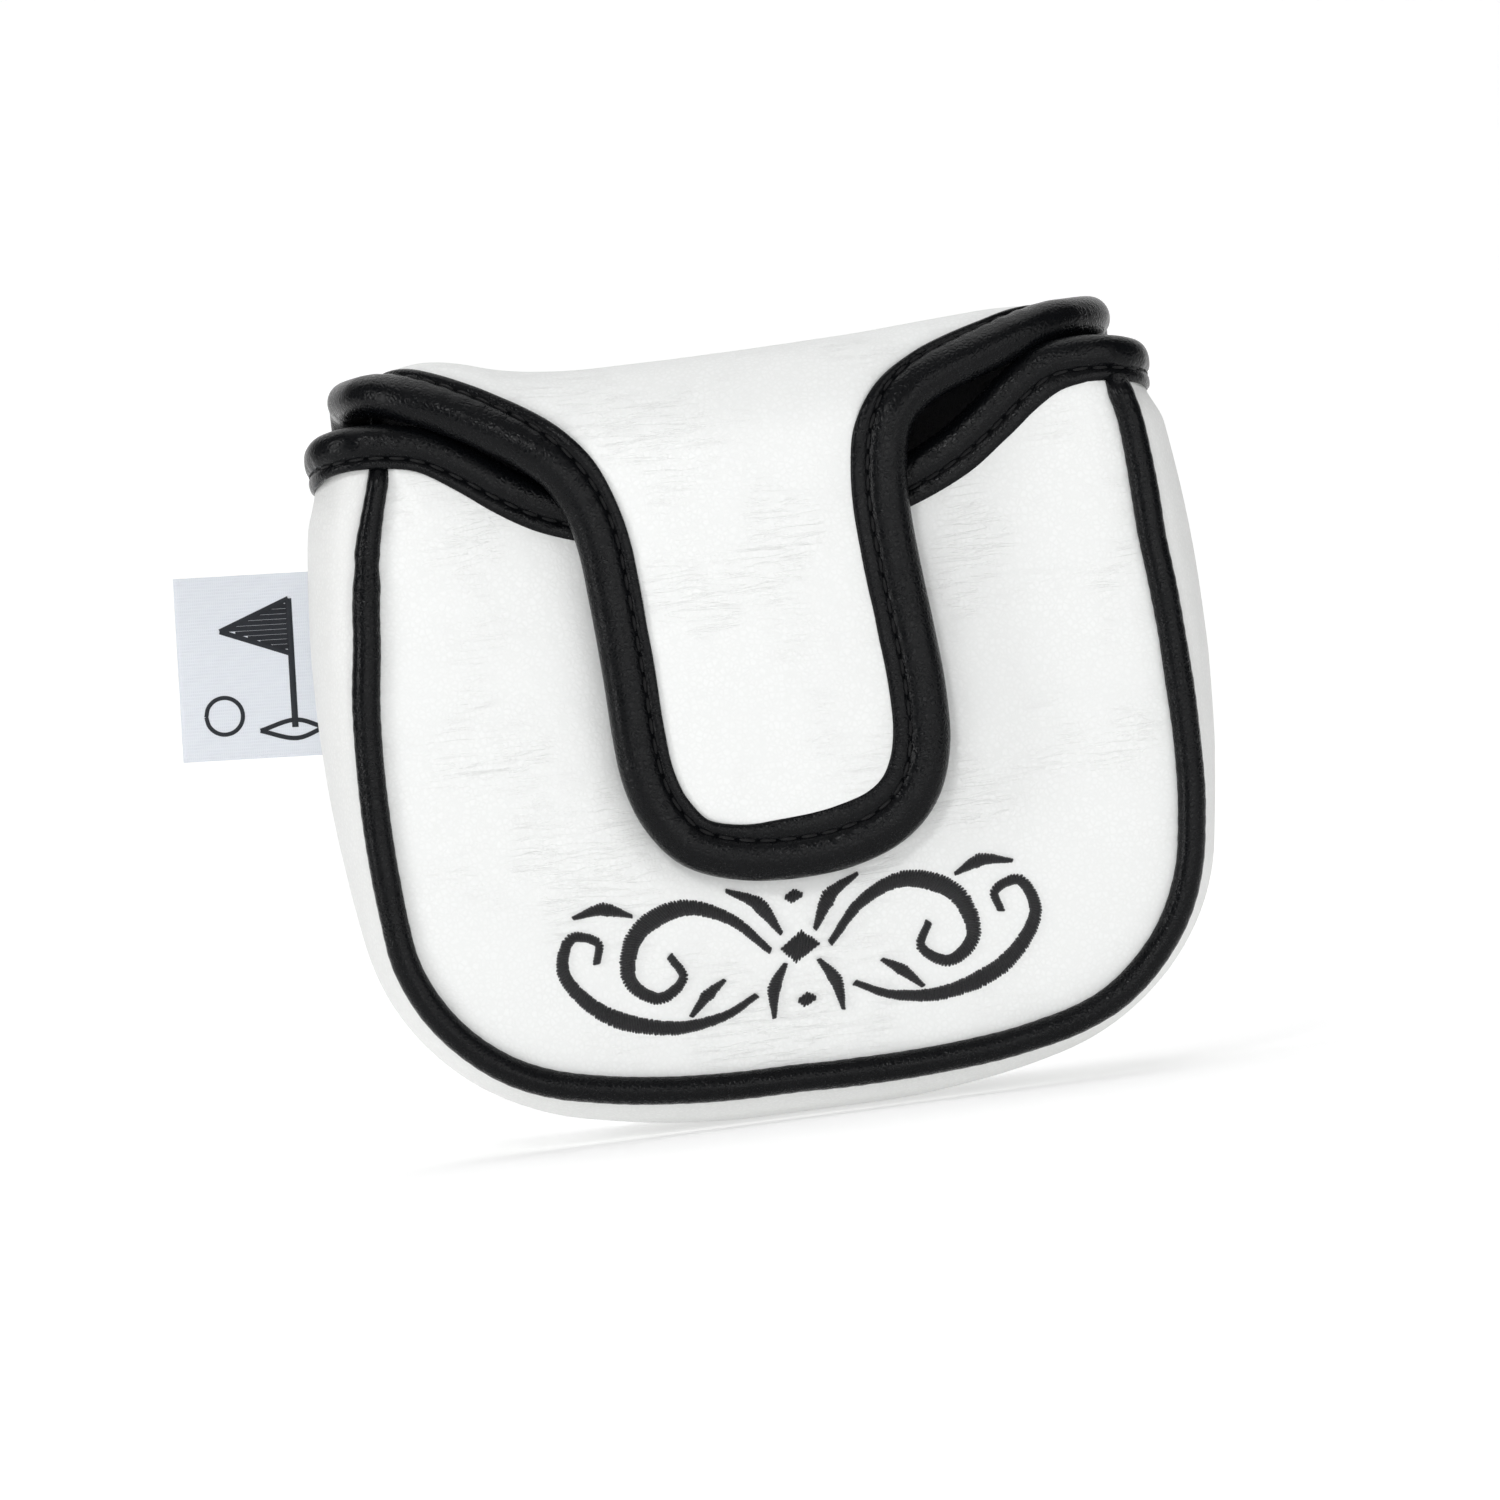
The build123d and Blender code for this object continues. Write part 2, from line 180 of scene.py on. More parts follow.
def shell_faces(rows, columns):
    """Faces of a thin sheet: a grid of points, a second grid for its other side, and the rim between them."""
    count = rows * columns
    faces = grid_faces(rows, columns)
    faces += [tuple(count + i for i in reversed(f)) for f in faces]
    rim = (
        [(0, c) for c in range(columns)]
        + [(r, columns - 1) for r in range(1, rows)]
        + [(rows - 1, c) for c in range(columns - 2, -1, -1)]
        + [(r, 0) for r in range(rows - 2, 0, -1)]
    )
    rim = [r * columns + c for r, c in rim]
    faces += [(a, b, count + b, count + a) for a, b in zip(rim, rim[1:] + rim[:1])]
    return faces

def tube_faces(rings, around, first):
    """Faces of a tube with flat ends, whose points are numbered ring by ring from first on."""
    faces = [tuple(first + i for i in f) for f in grid_faces(rings, around, True)]
    faces.append(tuple(first + i for i in reversed(range(around))))
    faces.append(tuple(first + (rings - 1) * around + i for i in range(around)))
    return faces

def add_piece(name, shape, material, nodes, body=None, bend=None):
    """Makes a piece from shape (points, faces and grain) that replaces CAD nodes.
    It rides on a body, or, when bend is given, has its placement baked into its mesh."""
    piece = mesh(name, *shape, body)
    piece.data.materials.append(material)
    # Blender adds .001 to a material's name that the frame already uses
    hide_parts(*nodes)
    if bend:
        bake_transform(piece)
    return piece

# ---------------------------------------------------------------- outlines

def pouch_outline(count):
    """Points and outward normals of the pouch's outline, from the left top round to the right top."""
    base = np.array([BASE_FLAT, BASE_R])
    side = np.array([HALF_WIDTH - SIDE_R, WIDEST_Z])
    ra, rb = BASE_R - CORNER_R, SIDE_R - CORNER_R
    gap = side - base
    d = np.linalg.norm(gap)
    along = (ra**2 - rb**2 + d * d) / (2 * d)
    across = math.sqrt(ra**2 - along**2)
    e = gap / d
    corner = base + e * along + np.array([-e[1], e[0]]) * across
    a1 = math.atan2(*(corner - base)[::-1])
    a2 = math.atan2(*(corner - side)[::-1])
    a3 = math.asin((SIDE_TOP - WIDEST_Z) / SIDE_R)
    runs = [np.array([[0.0, 0.0]])]
    for centre, r, start, end in (
        (base, BASE_R, -math.pi / 2, a1),
        (corner, CORNER_R, a1, a2),
        (side, SIDE_R, a2, a3),
    ):
        a = np.linspace(start, end, 300)[:, None]
        runs.append(centre + r * np.hstack([np.cos(a), np.sin(a)]))
    right = np.vstack(runs)
    left = right[:0:-1] * [-1, 1]
    p = evenly(np.vstack([left, right]), count)
    t = unit(np.gradient(p, axis=0))
    return p, np.column_stack([t[:, 1], -t[:, 0]])

def front_inset(p):
    """How far the front seam lies inside the outline: it leans in at the top left."""
    x, z = p[:, 0], p[:, 1]
    heights = [0, 2, 8, 20, 30, 50, 70, 79, 92, 105]
    left = np.interp(z, heights, [5.9, 5.5, 4.9, 4.6, 4.6, 5.9, 7.3, 8.3, 8.5, 10.1])
    left += 0.3 * np.exp(-(((z - 89.5) / 2.2) ** 2))
    right = np.interp(z, [0, 2, 8, 20, 40, 60, 80, 99, 105], [5.7, 4.9, 3.9, 3.7, 4.0, 5.4, 6.3, 5.1, 5.6])
    inset = np.where(x < 0, left, right)
    window = np.hanning(17)[1:-1]
    return np.convolve(np.pad(inset, 7, mode="edge"), window / window.sum(), mode="valid")

BACK_INSET = 6.0

# ---------------------------------------------------------------- the flap's surface

# How far the flap's top stands above its level line, along x
SAG = spline(
    [
        (-64, 2.5), (-58, 2.7), (-53, 3.0), (-48, 3.3), (-44, 3.0), (-39, 2.1), (-34, 0.9),
        (-28, -0.1), (-21, -0.8), (-10, -1.0), (5, -1.0), (16, -0.7), (26, -0.4), (36, -0.2),
        (46, 0.5), (58, 1.1), (64, 1.2),
    ],
    300,
)

def arch(flat, lift):
    """Places points of the flap's flat pattern on its arch. flat holds x and q, the distance along the outer
    face up from z = 0 at the front. lift is how far each point stands off the middle of the wall."""
    x, q = flat[:, 0], flat[:, 1]
    out = lift - WALL / 2
    r1, r2 = FRONT_BEND + out, BACK_BEND + out
    f1 = (q - BEND_Z) / FRONT_BEND
    f2 = (q - Q_BACK) / BACK_BEND
    front = q < BEND_Z
    bend = (q >= BEND_Z) & (q < Q_TOP)
    top = (q >= Q_TOP) & (q < Q_BACK)
    back = (q >= Q_BACK) & (q < Q_DOWN)
    y = np.select(
        [front, bend, top, back],
        [
            ARCH_FRONT - out,
            BEND_Y - r1 * np.cos(f1),
            BEND_Y + q - Q_TOP,
            HALF_DEPTH - BACK_BEND + r2 * np.sin(f2),
        ],
        HALF_DEPTH + out,
    )
    z = np.select(
        [front, bend, top, back],
        [q, BEND_Z + r1 * np.sin(f1), ARCH_TOP + out, ARCH_TOP - BACK_BEND + r2 * np.cos(f2)],
        ARCH_TOP - BACK_BEND - (q - Q_DOWN),
    )
    rise = np.interp(x, SAG[:, 0], SAG[:, 1]) * smooth(99, 113, z)
    # The tongue's tip swings a little to the right
    swing = 1.35 * smooth(92, 58, z) * (z < BEND_Z)
    return np.column_stack([x + swing, y, z + rise])

def arch_normal(flat):
    """The arch's outward direction at each point of the flat pattern."""
    level, e = np.zeros(len(flat)), 0.05
    du = arch(flat + [e, 0], level) - arch(flat - [e, 0], level)
    dv = arch(flat + [0, e], level) - arch(flat - [0, e], level)
    return unit(np.cross(du, dv))

# Middle of the roll round the flap and tongue, on the flat pattern, from its left end to its right one
FLAP_EDGE = [
    (-57.6, 168.5), (-57.4, 162), (-57.2, 152), (-57.1, 140), (-56.6, 130.5), (-53.8, 121.8),
    (-48.8, 115.8), (-43.2, 112.3), (-37.9, 109.6), (-32.4, 106.2), (-27.4, 101.2),
    (-24.0, 95.4), (-22.3, 88.6), (-22.0, 80), (-22.1, 70), (-22.2, 60), (-21.4, 52.5),
    (-19.1, 46.5), (-15.0, 41.9), (-8.0, 39.4), (0.0, 38.7), (8.0, 39.4), (14.8, 41.9),
    (19.4, 46.4), (21.8, 53), (22.3, 61), (22.1, 71), (21.9, 80), (21.8, 89), (22.2, 95),
    (23.3, 100), (25.7, 104.8), (30.2, 108.8), (36.0, 112.0), (41.9, 115.0), (47.6, 118.8),
    (52.6, 124.6), (55.9, 131.8), (56.9, 141), (57.1, 152), (57.2, 161), (57.4, 168.5),
]
flap_edge = spline(FLAP_EDGE, 760)

# Middle of the roll round the mouth (x, y, z) and the wall's outward direction (x, y), from left to right
MOUTH = [
    (-60.9, 17.2, 106.9, -1, 0), (-61.6, 8.0, 107.0, -1, 0), (-61.8, -3.0, 107.2, -1, 0),
    (-61.6, -11.0, 107.8, -1, -0.25), (-60.2, -17.0, 108.5, -0.8, -0.8), (-56.4, -20.4, 108.9, -0.25, -1),
    (-51.0, -21.0, 108.5, 0, -1), (-45.5, -21.1, 107.0, 0, -1), (-39.8, -21.0, 103.6, 0, -1),
    (-34.5, -20.9, 99.8, 0, -1), (-28.5, -20.9, 96.3, 0, -1), (-20.0, -20.9, 93.6, 0, -1),
    (-8.0, -20.9, 91.6, 0, -1), (6.0, -20.9, 91.0, 0, -1), (18.0, -20.9, 92.0, 0, -1),
    (26.0, -20.9, 94.3, 0, -1), (32.4, -20.9, 97.4, 0, -1), (37.9, -20.9, 101.2, 0, -1),
    (42.8, -21.0, 105.0, 0, -1), (47.6, -21.0, 107.7, 0, -1), (52.8, -20.8, 108.3, 0.1, -1),
    (57.4, -19.4, 107.9, 0.5, -1), (60.5, -15.6, 107.2, 0.9, -0.6), (61.5, -8.0, 106.7, 1, -0.15),
    (61.7, 2.0, 106.5, 1, 0), (61.5, 10.0, 106.6, 1, 0), (60.9, 17.2, 106.7, 1, 0),
]
mouth_line = spline([(x, y, z, 3 * out_x, 3 * out_y, 0) for x, y, z, out_x, out_y in MOUTH], 620)
mouth_path, mouth_facing = mouth_line[:, :3], unit(mouth_line[:, 3:])

# ---------------------------------------------------------------- materials

class Nodes:
    """Short calls for building a node material."""

    def __init__(self, name):
        self.material = bpy.data.materials.new(name)
        self.material.use_nodes = True
        self.tree = self.material.node_tree
        self.shader = self.tree.nodes["Principled BSDF"]

    def new(self, kind, **settings):
        made = self.tree.nodes.new("ShaderNode" + kind)
        for key, value in settings.items():
            setattr(made, key, value)
        return made

    def put(self, socket, value):
        if hasattr(value, "is_output"):
            self.tree.links.new(value, socket)
        else:
            socket.default_value = value

    def fill(self, node, **values):
        """Sets or links the inputs of a node, by their names with _ for a space."""
        for key, value in values.items():
            self.put(node.inputs[key.replace("_", " ")], value)

    def maths(self, operation, a, b=0.0):
        made = self.new("Math", operation=operation)
        self.put(made.inputs[0], a)
        self.put(made.inputs[1], b)
        return made.outputs[0]

    def plus(self, a, b):
        return self.maths("ADD", a, b)

    def times(self, a, b):
        return self.maths("MULTIPLY", a, b)

    def place(self, stretch=(1, 1, 1), turn=0.0, shift=(0, 0, 0)):
        """The point's place on the flat material, in millimetres, stretched."""
        where = self.new("Attribute", attribute_name="grain").outputs["Vector"]
        mapping = self.new("Mapping")
        self.fill(mapping, Vector=where, Scale=stretch, Rotation=(0, 0, turn), Location=shift)
        return mapping.outputs[0]

    def noise(self, place, scale, detail=3.0, rough=0.55, distortion=0.0):
        made = self.new("TexNoise")
        self.fill(made, Vector=place, Scale=scale, Detail=detail, Roughness=rough, Distortion=distortion)
        return made.outputs["Fac"]

    def ramp(self, value, low, high, to_low=0.0, to_high=1.0):
        made = self.new("MapRange", interpolation_type="SMOOTHSTEP")
        for socket, v in zip(made.inputs, (value, low, high, to_low, to_high)):
            self.put(socket, v)
        return made.outputs[0]

    def mix(self, factor, a, b):
        made = self.new("Mix", data_type="RGBA")
        self.put(made.inputs[0], factor)
        self.put(made.inputs[6], (*a, 1) if isinstance(a, tuple) else a)
        self.put(made.inputs[7], (*b, 1) if isinstance(b, tuple) else b)
        return made.outputs[2]

    def finish(self, colour, roughness, height=None, spec=0.5, sheen=0.0, sheen_rough=0.5):
        """Feeds the shader. height is in millimetres."""
        self.fill(self.shader, Base_Color=colour, Roughness=roughness, Specular_IOR_Level=spec)
        self.fill(self.shader, Sheen_Weight=sheen, Sheen_Roughness=sheen_rough)
        if height is not None:
            bump = self.new("Bump")
            self.fill(bump, Strength=1.0, Distance=MM, Height=height)
            self.fill(self.shader, Normal=bump.outputs["Normal"])
        return self.material

def leather_cloth(name, colour, crease_shade_colour, grain_mm, grain_depth, rough, wrinkle=0.0, spec=0.45):
    """Coated cloth with a pressed pebble grain: raised cells with fine creases between them, and painted shade
    darkening the creases.
    """
    n = Nodes(name)
    warp = n.new("TexNoise")
    n.fill(warp, Vector=n.place(), Scale=0.9)
    scaled = n.new("VectorMath", operation="SCALE")
    n.put(scaled.inputs[0], warp.outputs["Color"])
    n.fill(scaled, Scale=0.35)
    bent = n.new("VectorMath", operation="ADD")
    n.put(bent.inputs[0], n.place())
    n.put(bent.inputs[1], scaled.outputs[0])
    cells = n.new("TexVoronoi", feature="DISTANCE_TO_EDGE")
    n.fill(cells, Vector=bent.outputs[0], Scale=1 / grain_mm, Randomness=1.0)
    pebble = n.ramp(cells.outputs["Distance"], 0.0, 0.32)
    fine = n.noise(n.place(), 5.5)
    broad = n.noise(n.place(shift=(31, 7, 3)), 0.16)
    patchy = n.ramp(n.noise(n.place(shift=(3, 51, 9)), 0.07, 2), 0.35, 0.65, 0.45, 1.0)
    height = n.times(pebble, n.times(patchy, grain_depth))
    height = n.plus(height, n.times(fine, grain_depth * 0.35))
    height = n.plus(height, n.times(broad, 0.25))
    if wrinkle:
        lines = n.noise(n.place((0.16, 1.0, 1.0)), 0.75, 4, 0.6, 0.6)
        lines = n.ramp(n.maths("ABSOLUTE", n.maths("SUBTRACT", lines, 0.5)), 0.0, 0.05)
        where = n.ramp(n.noise(n.place(shift=(9, 9, 9)), 0.055, 2), 0.45, 0.62)
        height = n.plus(height, n.times(n.times(lines, where), wrinkle))
    # the colour turns darker in the creases: painted shade
    crease = n.maths("SUBTRACT", 1.0, pebble)
    crease_shaded = n.mix(n.times(crease, 0.55), colour, crease_shade_colour)
    shade = n.mix(n.ramp(broad, 0.3, 0.7, 0.0, 0.5), crease_shaded, tuple(c * 0.965 for c in colour))
    wear = n.plus(n.times(broad, 0.5), n.times(crease, 0.3))
    return n.finish(shade, n.ramp(wear, 0.1, 0.7, rough - 0.05, rough + 0.09), height, spec)

def thread_cloth(name, colour, rough=0.42, spec=0.3):
    """Twisted thread: fine slanting fibres along each stitch."""
    n = Nodes(name)
    twist = n.new("TexWave", wave_type="BANDS", bands_direction="X")
    n.fill(twist, Vector=n.place((2.2, 5.5, 1), 0.5), Scale=0.9, Distortion=1.2)
    fibre = n.noise(n.place((0.6, 9, 1)), 1.4)
    height = n.plus(n.times(twist.outputs["Fac"], 0.035), n.times(fibre, 0.03))
    shade = n.mix(fibre, colour, tuple(min(1.0, c * 2.2 + 0.004) for c in colour))
    return n.finish(shade, n.ramp(fibre, 0.2, 0.8, rough - 0.06, rough + 0.14), height, spec, 0.02, 0.4)

def plush(name, colour):
    """Short brushed pile."""
    n = Nodes(name)
    pile = n.noise(n.place((1.6, 1, 1)), 3.2, 5, 0.7)
    tufts = n.noise(n.place(), 0.35)
    height = n.plus(n.times(pile, 0.45), n.times(tufts, 0.8))
    nap = n.plus(n.times(pile, 0.6), n.times(tufts, 0.4))
    shade = n.mix(nap, tuple(c * 0.6 for c in colour), tuple(c * 1.5 for c in colour))
    return n.finish(shade, n.ramp(pile, 0.2, 0.8, 0.85, 1.0), height, 0.2, 0.4, 0.6)

def woven(name, colour, shadow, pitch=0.32):
    """Satin-woven ribbon: fine crossing threads."""
    n = Nodes(name)
    threads = []
    for direction, stretch in (("X", 1.0), ("Y", 0.62)):
        wave = n.new("TexWave", wave_type="BANDS", bands_direction=direction, wave_profile="SIN")
        n.fill(wave, Vector=n.place(), Scale=stretch * 0.314 / pitch)
        n.fill(wave, Distortion=0.35, Detail=1.0, Detail_Scale=0.6)
        threads.append(wave.outputs["Fac"])
    slub = n.noise(n.place((0.25, 2.5, 1)), 1.1)
    weave = n.maths("MAXIMUM", threads[0], n.times(threads[1], 0.8))
    height = n.plus(n.times(weave, 0.05), n.times(slub, 0.05))
    shade = n.mix(n.plus(n.times(weave, 0.55), n.times(slub, 0.45)), shadow, colour)
    return n.finish(shade, n.ramp(slub, 0.2, 0.8, 0.42, 0.6), height, 0.5, 0.2, 0.35)

def steel(name):
    """Nickel-plated magnet."""
    n = Nodes(name)
    marks = n.new("TexNoise")
    n.fill(marks, Vector=n.new("TexCoord").outputs["Object"], Scale=900, Detail=4)
    marks = marks.outputs["Fac"]
    n.fill(n.shader, Metallic=1.0)
    return n.finish(n.mix(marks, (0.55, 0.56, 0.58), (0.68, 0.69, 0.70)), n.ramp(marks, 0.3, 0.7, 0.18, 0.34))

# Each leather's second colour is painted shade in the creases of its grain
WHITE = leather_cloth("white_leather_cloth", (0.875, 0.885, 0.878), (0.80, 0.81, 0.80), 0.85, 0.020, 0.50, 0.040)
# The gusset is the white leather made a little darker: painted shade for the sides turned from the light
SHADED_WHITE = leather_cloth("gusset_leather_cloth", (0.84, 0.845, 0.835), (0.76, 0.765, 0.755), 0.85, 0.020, 0.48, 0.02)
BLACK = leather_cloth(
    "black_leather_cloth", (0.0026, 0.0030, 0.0038), (0.0014, 0.0015, 0.0019), 0.78, 0.045, 0.24, spec=0.15
)
THREAD = thread_cloth("sewing_thread", (0.004, 0.004, 0.0045), 0.5)
EMBROIDERY = thread_cloth("embroidery_thread", (0.004, 0.004, 0.005), 0.30, 0.55)
PLUSH = plush("plush_lining", (0.045, 0.046, 0.050))
LABEL = woven("woven_label", (0.80, 0.83, 0.88), (0.70, 0.73, 0.79))
LABEL_INK = thread_cloth("label_thread", (0.012, 0.014, 0.018), 0.5)
STEEL = steel("magnet_steel")

# ---------------------------------------------------------------- walls of the pouch

def closed_patch(outline, centre, rings, outer, inner):
    """A thin closed sheet over a flat outline. outer and inner turn 2-D points into 3-D ones."""
    m = len(outline)
    flat = np.vstack([centre + (outline - centre) * r for r in rings] + [centre[None]])
    top, bottom = outer(flat), inner(flat)
    count = len(flat)
    faces = grid_faces(len(rings), m, True)
    hub = count - 1
    last = (len(rings) - 1) * m
    faces += [(last + i, last + (i + 1) % m, hub) for i in range(m)]
    faces += [tuple(count + i for i in reversed(f)) for f in faces]
    faces += [(i, (i + 1) % m, count + (i + 1) % m, count + i) for i in range(m)]
    return np.vstack([top, bottom]), faces, np.vstack([flat, flat])

def ring_steps(count, power=1.7):
    """From 1 at the edge down to near 0, closer together near the edge."""
    t = np.linspace(0, 1, count, endpoint=False)
    return 1 - t**power * 0.995

seam_points, seam_normals = pouch_outline(520)
front_seam = seam_points - seam_normals * front_inset(seam_points)[:, None]
back_seam = seam_points - seam_normals * BACK_INSET

# The front wall's top edge, 2 mm under the middle of the mouth's roll, and the tongue's outline, as (x, z)
on_front = (mouth_path[:, 0] > -52) & (mouth_path[:, 0] < 55) & (mouth_path[:, 1] < -16)
mouth_front = mouth_path[on_front][:, [0, 2]] - [0, 2.0]
flap_path = arch(flap_edge, np.zeros(len(flap_edge)))
tongue_shape = flap_path[flap_path[:, 1] < -26][:, [0, 2]]

def under_tongue(p):
    """Signed distance from the tongue's outline: below 0 under the tongue."""
    d = distance_to(p, tongue_shape)
    tip = tongue_shape[:, 1].argmin()
    left, right = tongue_shape[tip::-1], tongue_shape[tip:]
    inside = (p[:, 1] > tongue_shape[tip, 1]) & (p[:, 0] > np.interp(p[:, 1], left[:, 1], left[:, 0]))
    inside &= p[:, 0] < np.interp(p[:, 1], right[:, 1], right[:, 0])
    return np.where(inside, -d, d)

def front_outer(p):
    """The front wall's outer face: full over its padding, pinched at its seam, pressed by the tongue."""
    d = distance_to(p, front_outline, True)
    lift = 21.2 + 1.9 * (1 - np.exp(-d / 1.9)) + 1.25 * (1 - np.exp(-d / 15))
    press = smooth(7.5, -1.5, under_tongue(p))
    lift = lift * (1 - press) + np.minimum(lift, 23.25) * press
    ripple = bumps(p * [0.35, 1], 3.2, 1) * np.exp(-d / 5) * 0.16
    swell = bumps(p, 26, 2) * 0.35 * smooth(0, 12, d)
    slack = bumps(p * [0.3, 1], 7, 3) * 0.10 * smooth(0, 5, d)
    return np.column_stack([p[:, 0], -(lift + ripple + swell * (1 - press) + slack), p[:, 1]])

def flat_at(y, pile=0.0, seed=0):
    """Turns points (x, z) into points of a wall's face at y, with the small lumps of its pile."""
    return lambda p: np.column_stack([p[:, 0], y + pile * bumps(p, 6, seed), p[:, 1]])

seam_only = front_seam[front_seam[:, 1] < FRONT_SEAM_TOP]
front_outline = evenly(np.vstack([seam_only, mouth_front[::-1], seam_only[:1]]), 901)[:-1]
front_shape = closed_patch(front_outline, PATCH_CENTRE, ring_steps(64), front_outer, flat_at(FRONT_INNER_Y))
add_piece("front_wall", front_shape, WHITE, ["front_panel", "front_padding"], "pouch")

def gusset_section(v, width):
    """Across the gusset, from the front seam (v = -1) to the back one: y, and how far it stands out."""
    y = np.sin(v * math.pi / 2) * 21.7
    out = width * (1 - np.abs(y / 21.9) ** 2.7) ** (1 / 2.3)
    return y, out

def gusset_shape():
    """The gusset: a padded band round the pouch that bulges between its two seams."""
    rows = len(seam_points)
    across = np.linspace(-1, 1, 61)
    s = length_along(seam_points)
    layers = []
    for inner in (False, True):
        layer = []
        for v in across:
            back_share = smooth(-1, 1, v)
            inset = front_inset(seam_points) * (1 - back_share) + BACK_INSET * back_share
            y, out = gusset_section(np.full(rows, v), inset)
            if inner:
                y, out = y * 0.985, np.minimum(out, inset) - GUSSET_THICK
            p = seam_points - seam_normals * (inset - out)[:, None]
            x, z = p[:, 0], p[:, 1]
            puckers = bumps(np.column_stack([s, y]) * [1, 0.25], 3.5, 4) * 0.14 * abs(v) ** 6
            waves = bumps(np.column_stack([s, y]), 22, 5) * 0.22 * (1 - abs(v) ** 4)
            off_base = smooth(14, 26, np.abs(x) + z * 2)
            move = (puckers + waves * off_base * 0.8) * (0 if inner else 1)
            bulge = 0.75 * (1 - v * v) * smooth(4, 26, z) * smooth(103, 96, z)
            # it draws in under the binding round the mouth, most at the right
            at_right = x > 0
            bulge = bulge - (0.1 + 0.4 * at_right) * smooth(97, 102, z)
            y = y * (1 - 0.08 * at_right * smooth(98.5, 102.5, z))
            p = p + seam_normals * (bulge - np.abs(move))[:, None]
            layer.append(np.column_stack([p[:, 0], y, np.clip(p[:, 1], 0.0, GUSSET_TOP)]))
        layers.append(np.stack(layer, 1).reshape(-1, 3))
    flat = np.column_stack([np.tile(across * 24, rows), np.repeat(s, len(across))])
    return np.vstack(layers), shell_faces(rows, len(across)), np.vstack([flat, flat])

gusset = add_piece("gusset", gusset_shape(), SHADED_WHITE, ["gusset_band", "gusset_padding"], "pouch")

# ---------------------------------------------------------------- cords and bindings

def beside(path, facing, side):
    """Two unit directions at each point of a path on a wall: off the wall, and out of the wall's edge.
    side is 1 or -1, so that the second one points away from the wall."""
    tangent = unit(np.gradient(path, axis=0))
    face = unit(facing - tangent * (facing * tangent).sum(1)[:, None])
    return face, np.cross(tangent, face) * side

def sweep(path, facing, side, profile):
    """Sweeps a closed profile along a path. profile(i, s) gives its points (out of the edge, off the wall) at
    path point i, a distance s along it."""
    face, edge = beside(path, facing, side)
    s = length_along(path)
    rings, grain = [], []
    for i in range(len(path)):
        section = profile(i, s[i])
        rings.append(path[i] + section[:, :1] * edge[i] + section[:, 1:2] * face[i])
        around = length_along(np.vstack([section, section[:1]]))[:-1]
        grain.append(np.column_stack([around, np.full(len(section), s[i])]))
    k = len(rings[0])
    faces = grid_faces(len(path), k, True)
    first_hub, end = len(path) * k, (len(path) - 1) * k
    faces += [((i + 1) % k, i, first_hub) for i in range(k)]
    faces += [(end + i, end + (i + 1) % k, first_hub + 1) for i in range(k)]
    return np.vstack(rings + [path[:1], path[-1:]]), faces, np.vstack(grain + [grain[0][:1], grain[-1][:1]])

def rounding(i, count, ends=10):
    """Shrinks a swept piece to a rounded end over its last few rings."""
    t = min(i, count - 1 - i) / ends
    return 1.0 if t >= 1 else math.sqrt(max(0.0, 1 - (1 - t) ** 2)) * 0.85 + 0.15

# The binding's section (out of the edge, off the wall): a roll, a stitched groove beside it and a flat flange
BINDING = np.array(
    [
        (-5.55, 1.8), (-5.72, 2.3), (-5.6, 2.66), (-5.2, 2.84), (-4.6, 2.90), (-4.0, 2.88),
        (-3.5, 2.74), (-3.22, 2.50), (-3.05, 2.40), (-2.86, 2.54), (-2.55, 2.84), (-2.0, 3.10),
        (-1.3, 3.24), (-0.5, 3.28), (0.35, 3.20), (1.15, 2.95), (1.85, 2.50), (2.42, 1.86),
        (2.80, 1.08), (2.97, 0.25), (2.92, -0.6), (2.68, -1.4), (2.22, -2.12), (1.6, -2.66),
        (0.85, -2.98), (0.0, -3.08), (-1.0, -3.06), (-2.0, -2.94), (-2.7, -2.66), (-3.05, -2.40),
        (-3.4, -2.62), (-4.2, -2.80), (-5.1, -2.80), (-5.6, -2.6), (-5.6, -2.0), (-4.2, -1.2),
        (-4.0, 0.0), (-4.2, 1.2),
    ]
)
GROOVE, FLANGE_START = -3.05, -3.3
MOUTH_ROLL = 0.84

# The stitches in the groove: their spacing, length and place in the section
STITCH, STITCH_LENGTH, STITCH_OUT, STITCH_LIFT = 3.1, 2.3, -3.07, 2.46

def densify(section, count):
    """The closed profile, smoothed and resampled."""
    closed = np.vstack([section[-1:], section, section[:2]])
    line = spline(closed, count * 4)
    lo, hi = count * 4 // (len(closed) - 1), count * 4 * (len(closed) - 2) // (len(closed) - 1)
    return evenly(line[lo : hi + 1], count + 1)[:-1]

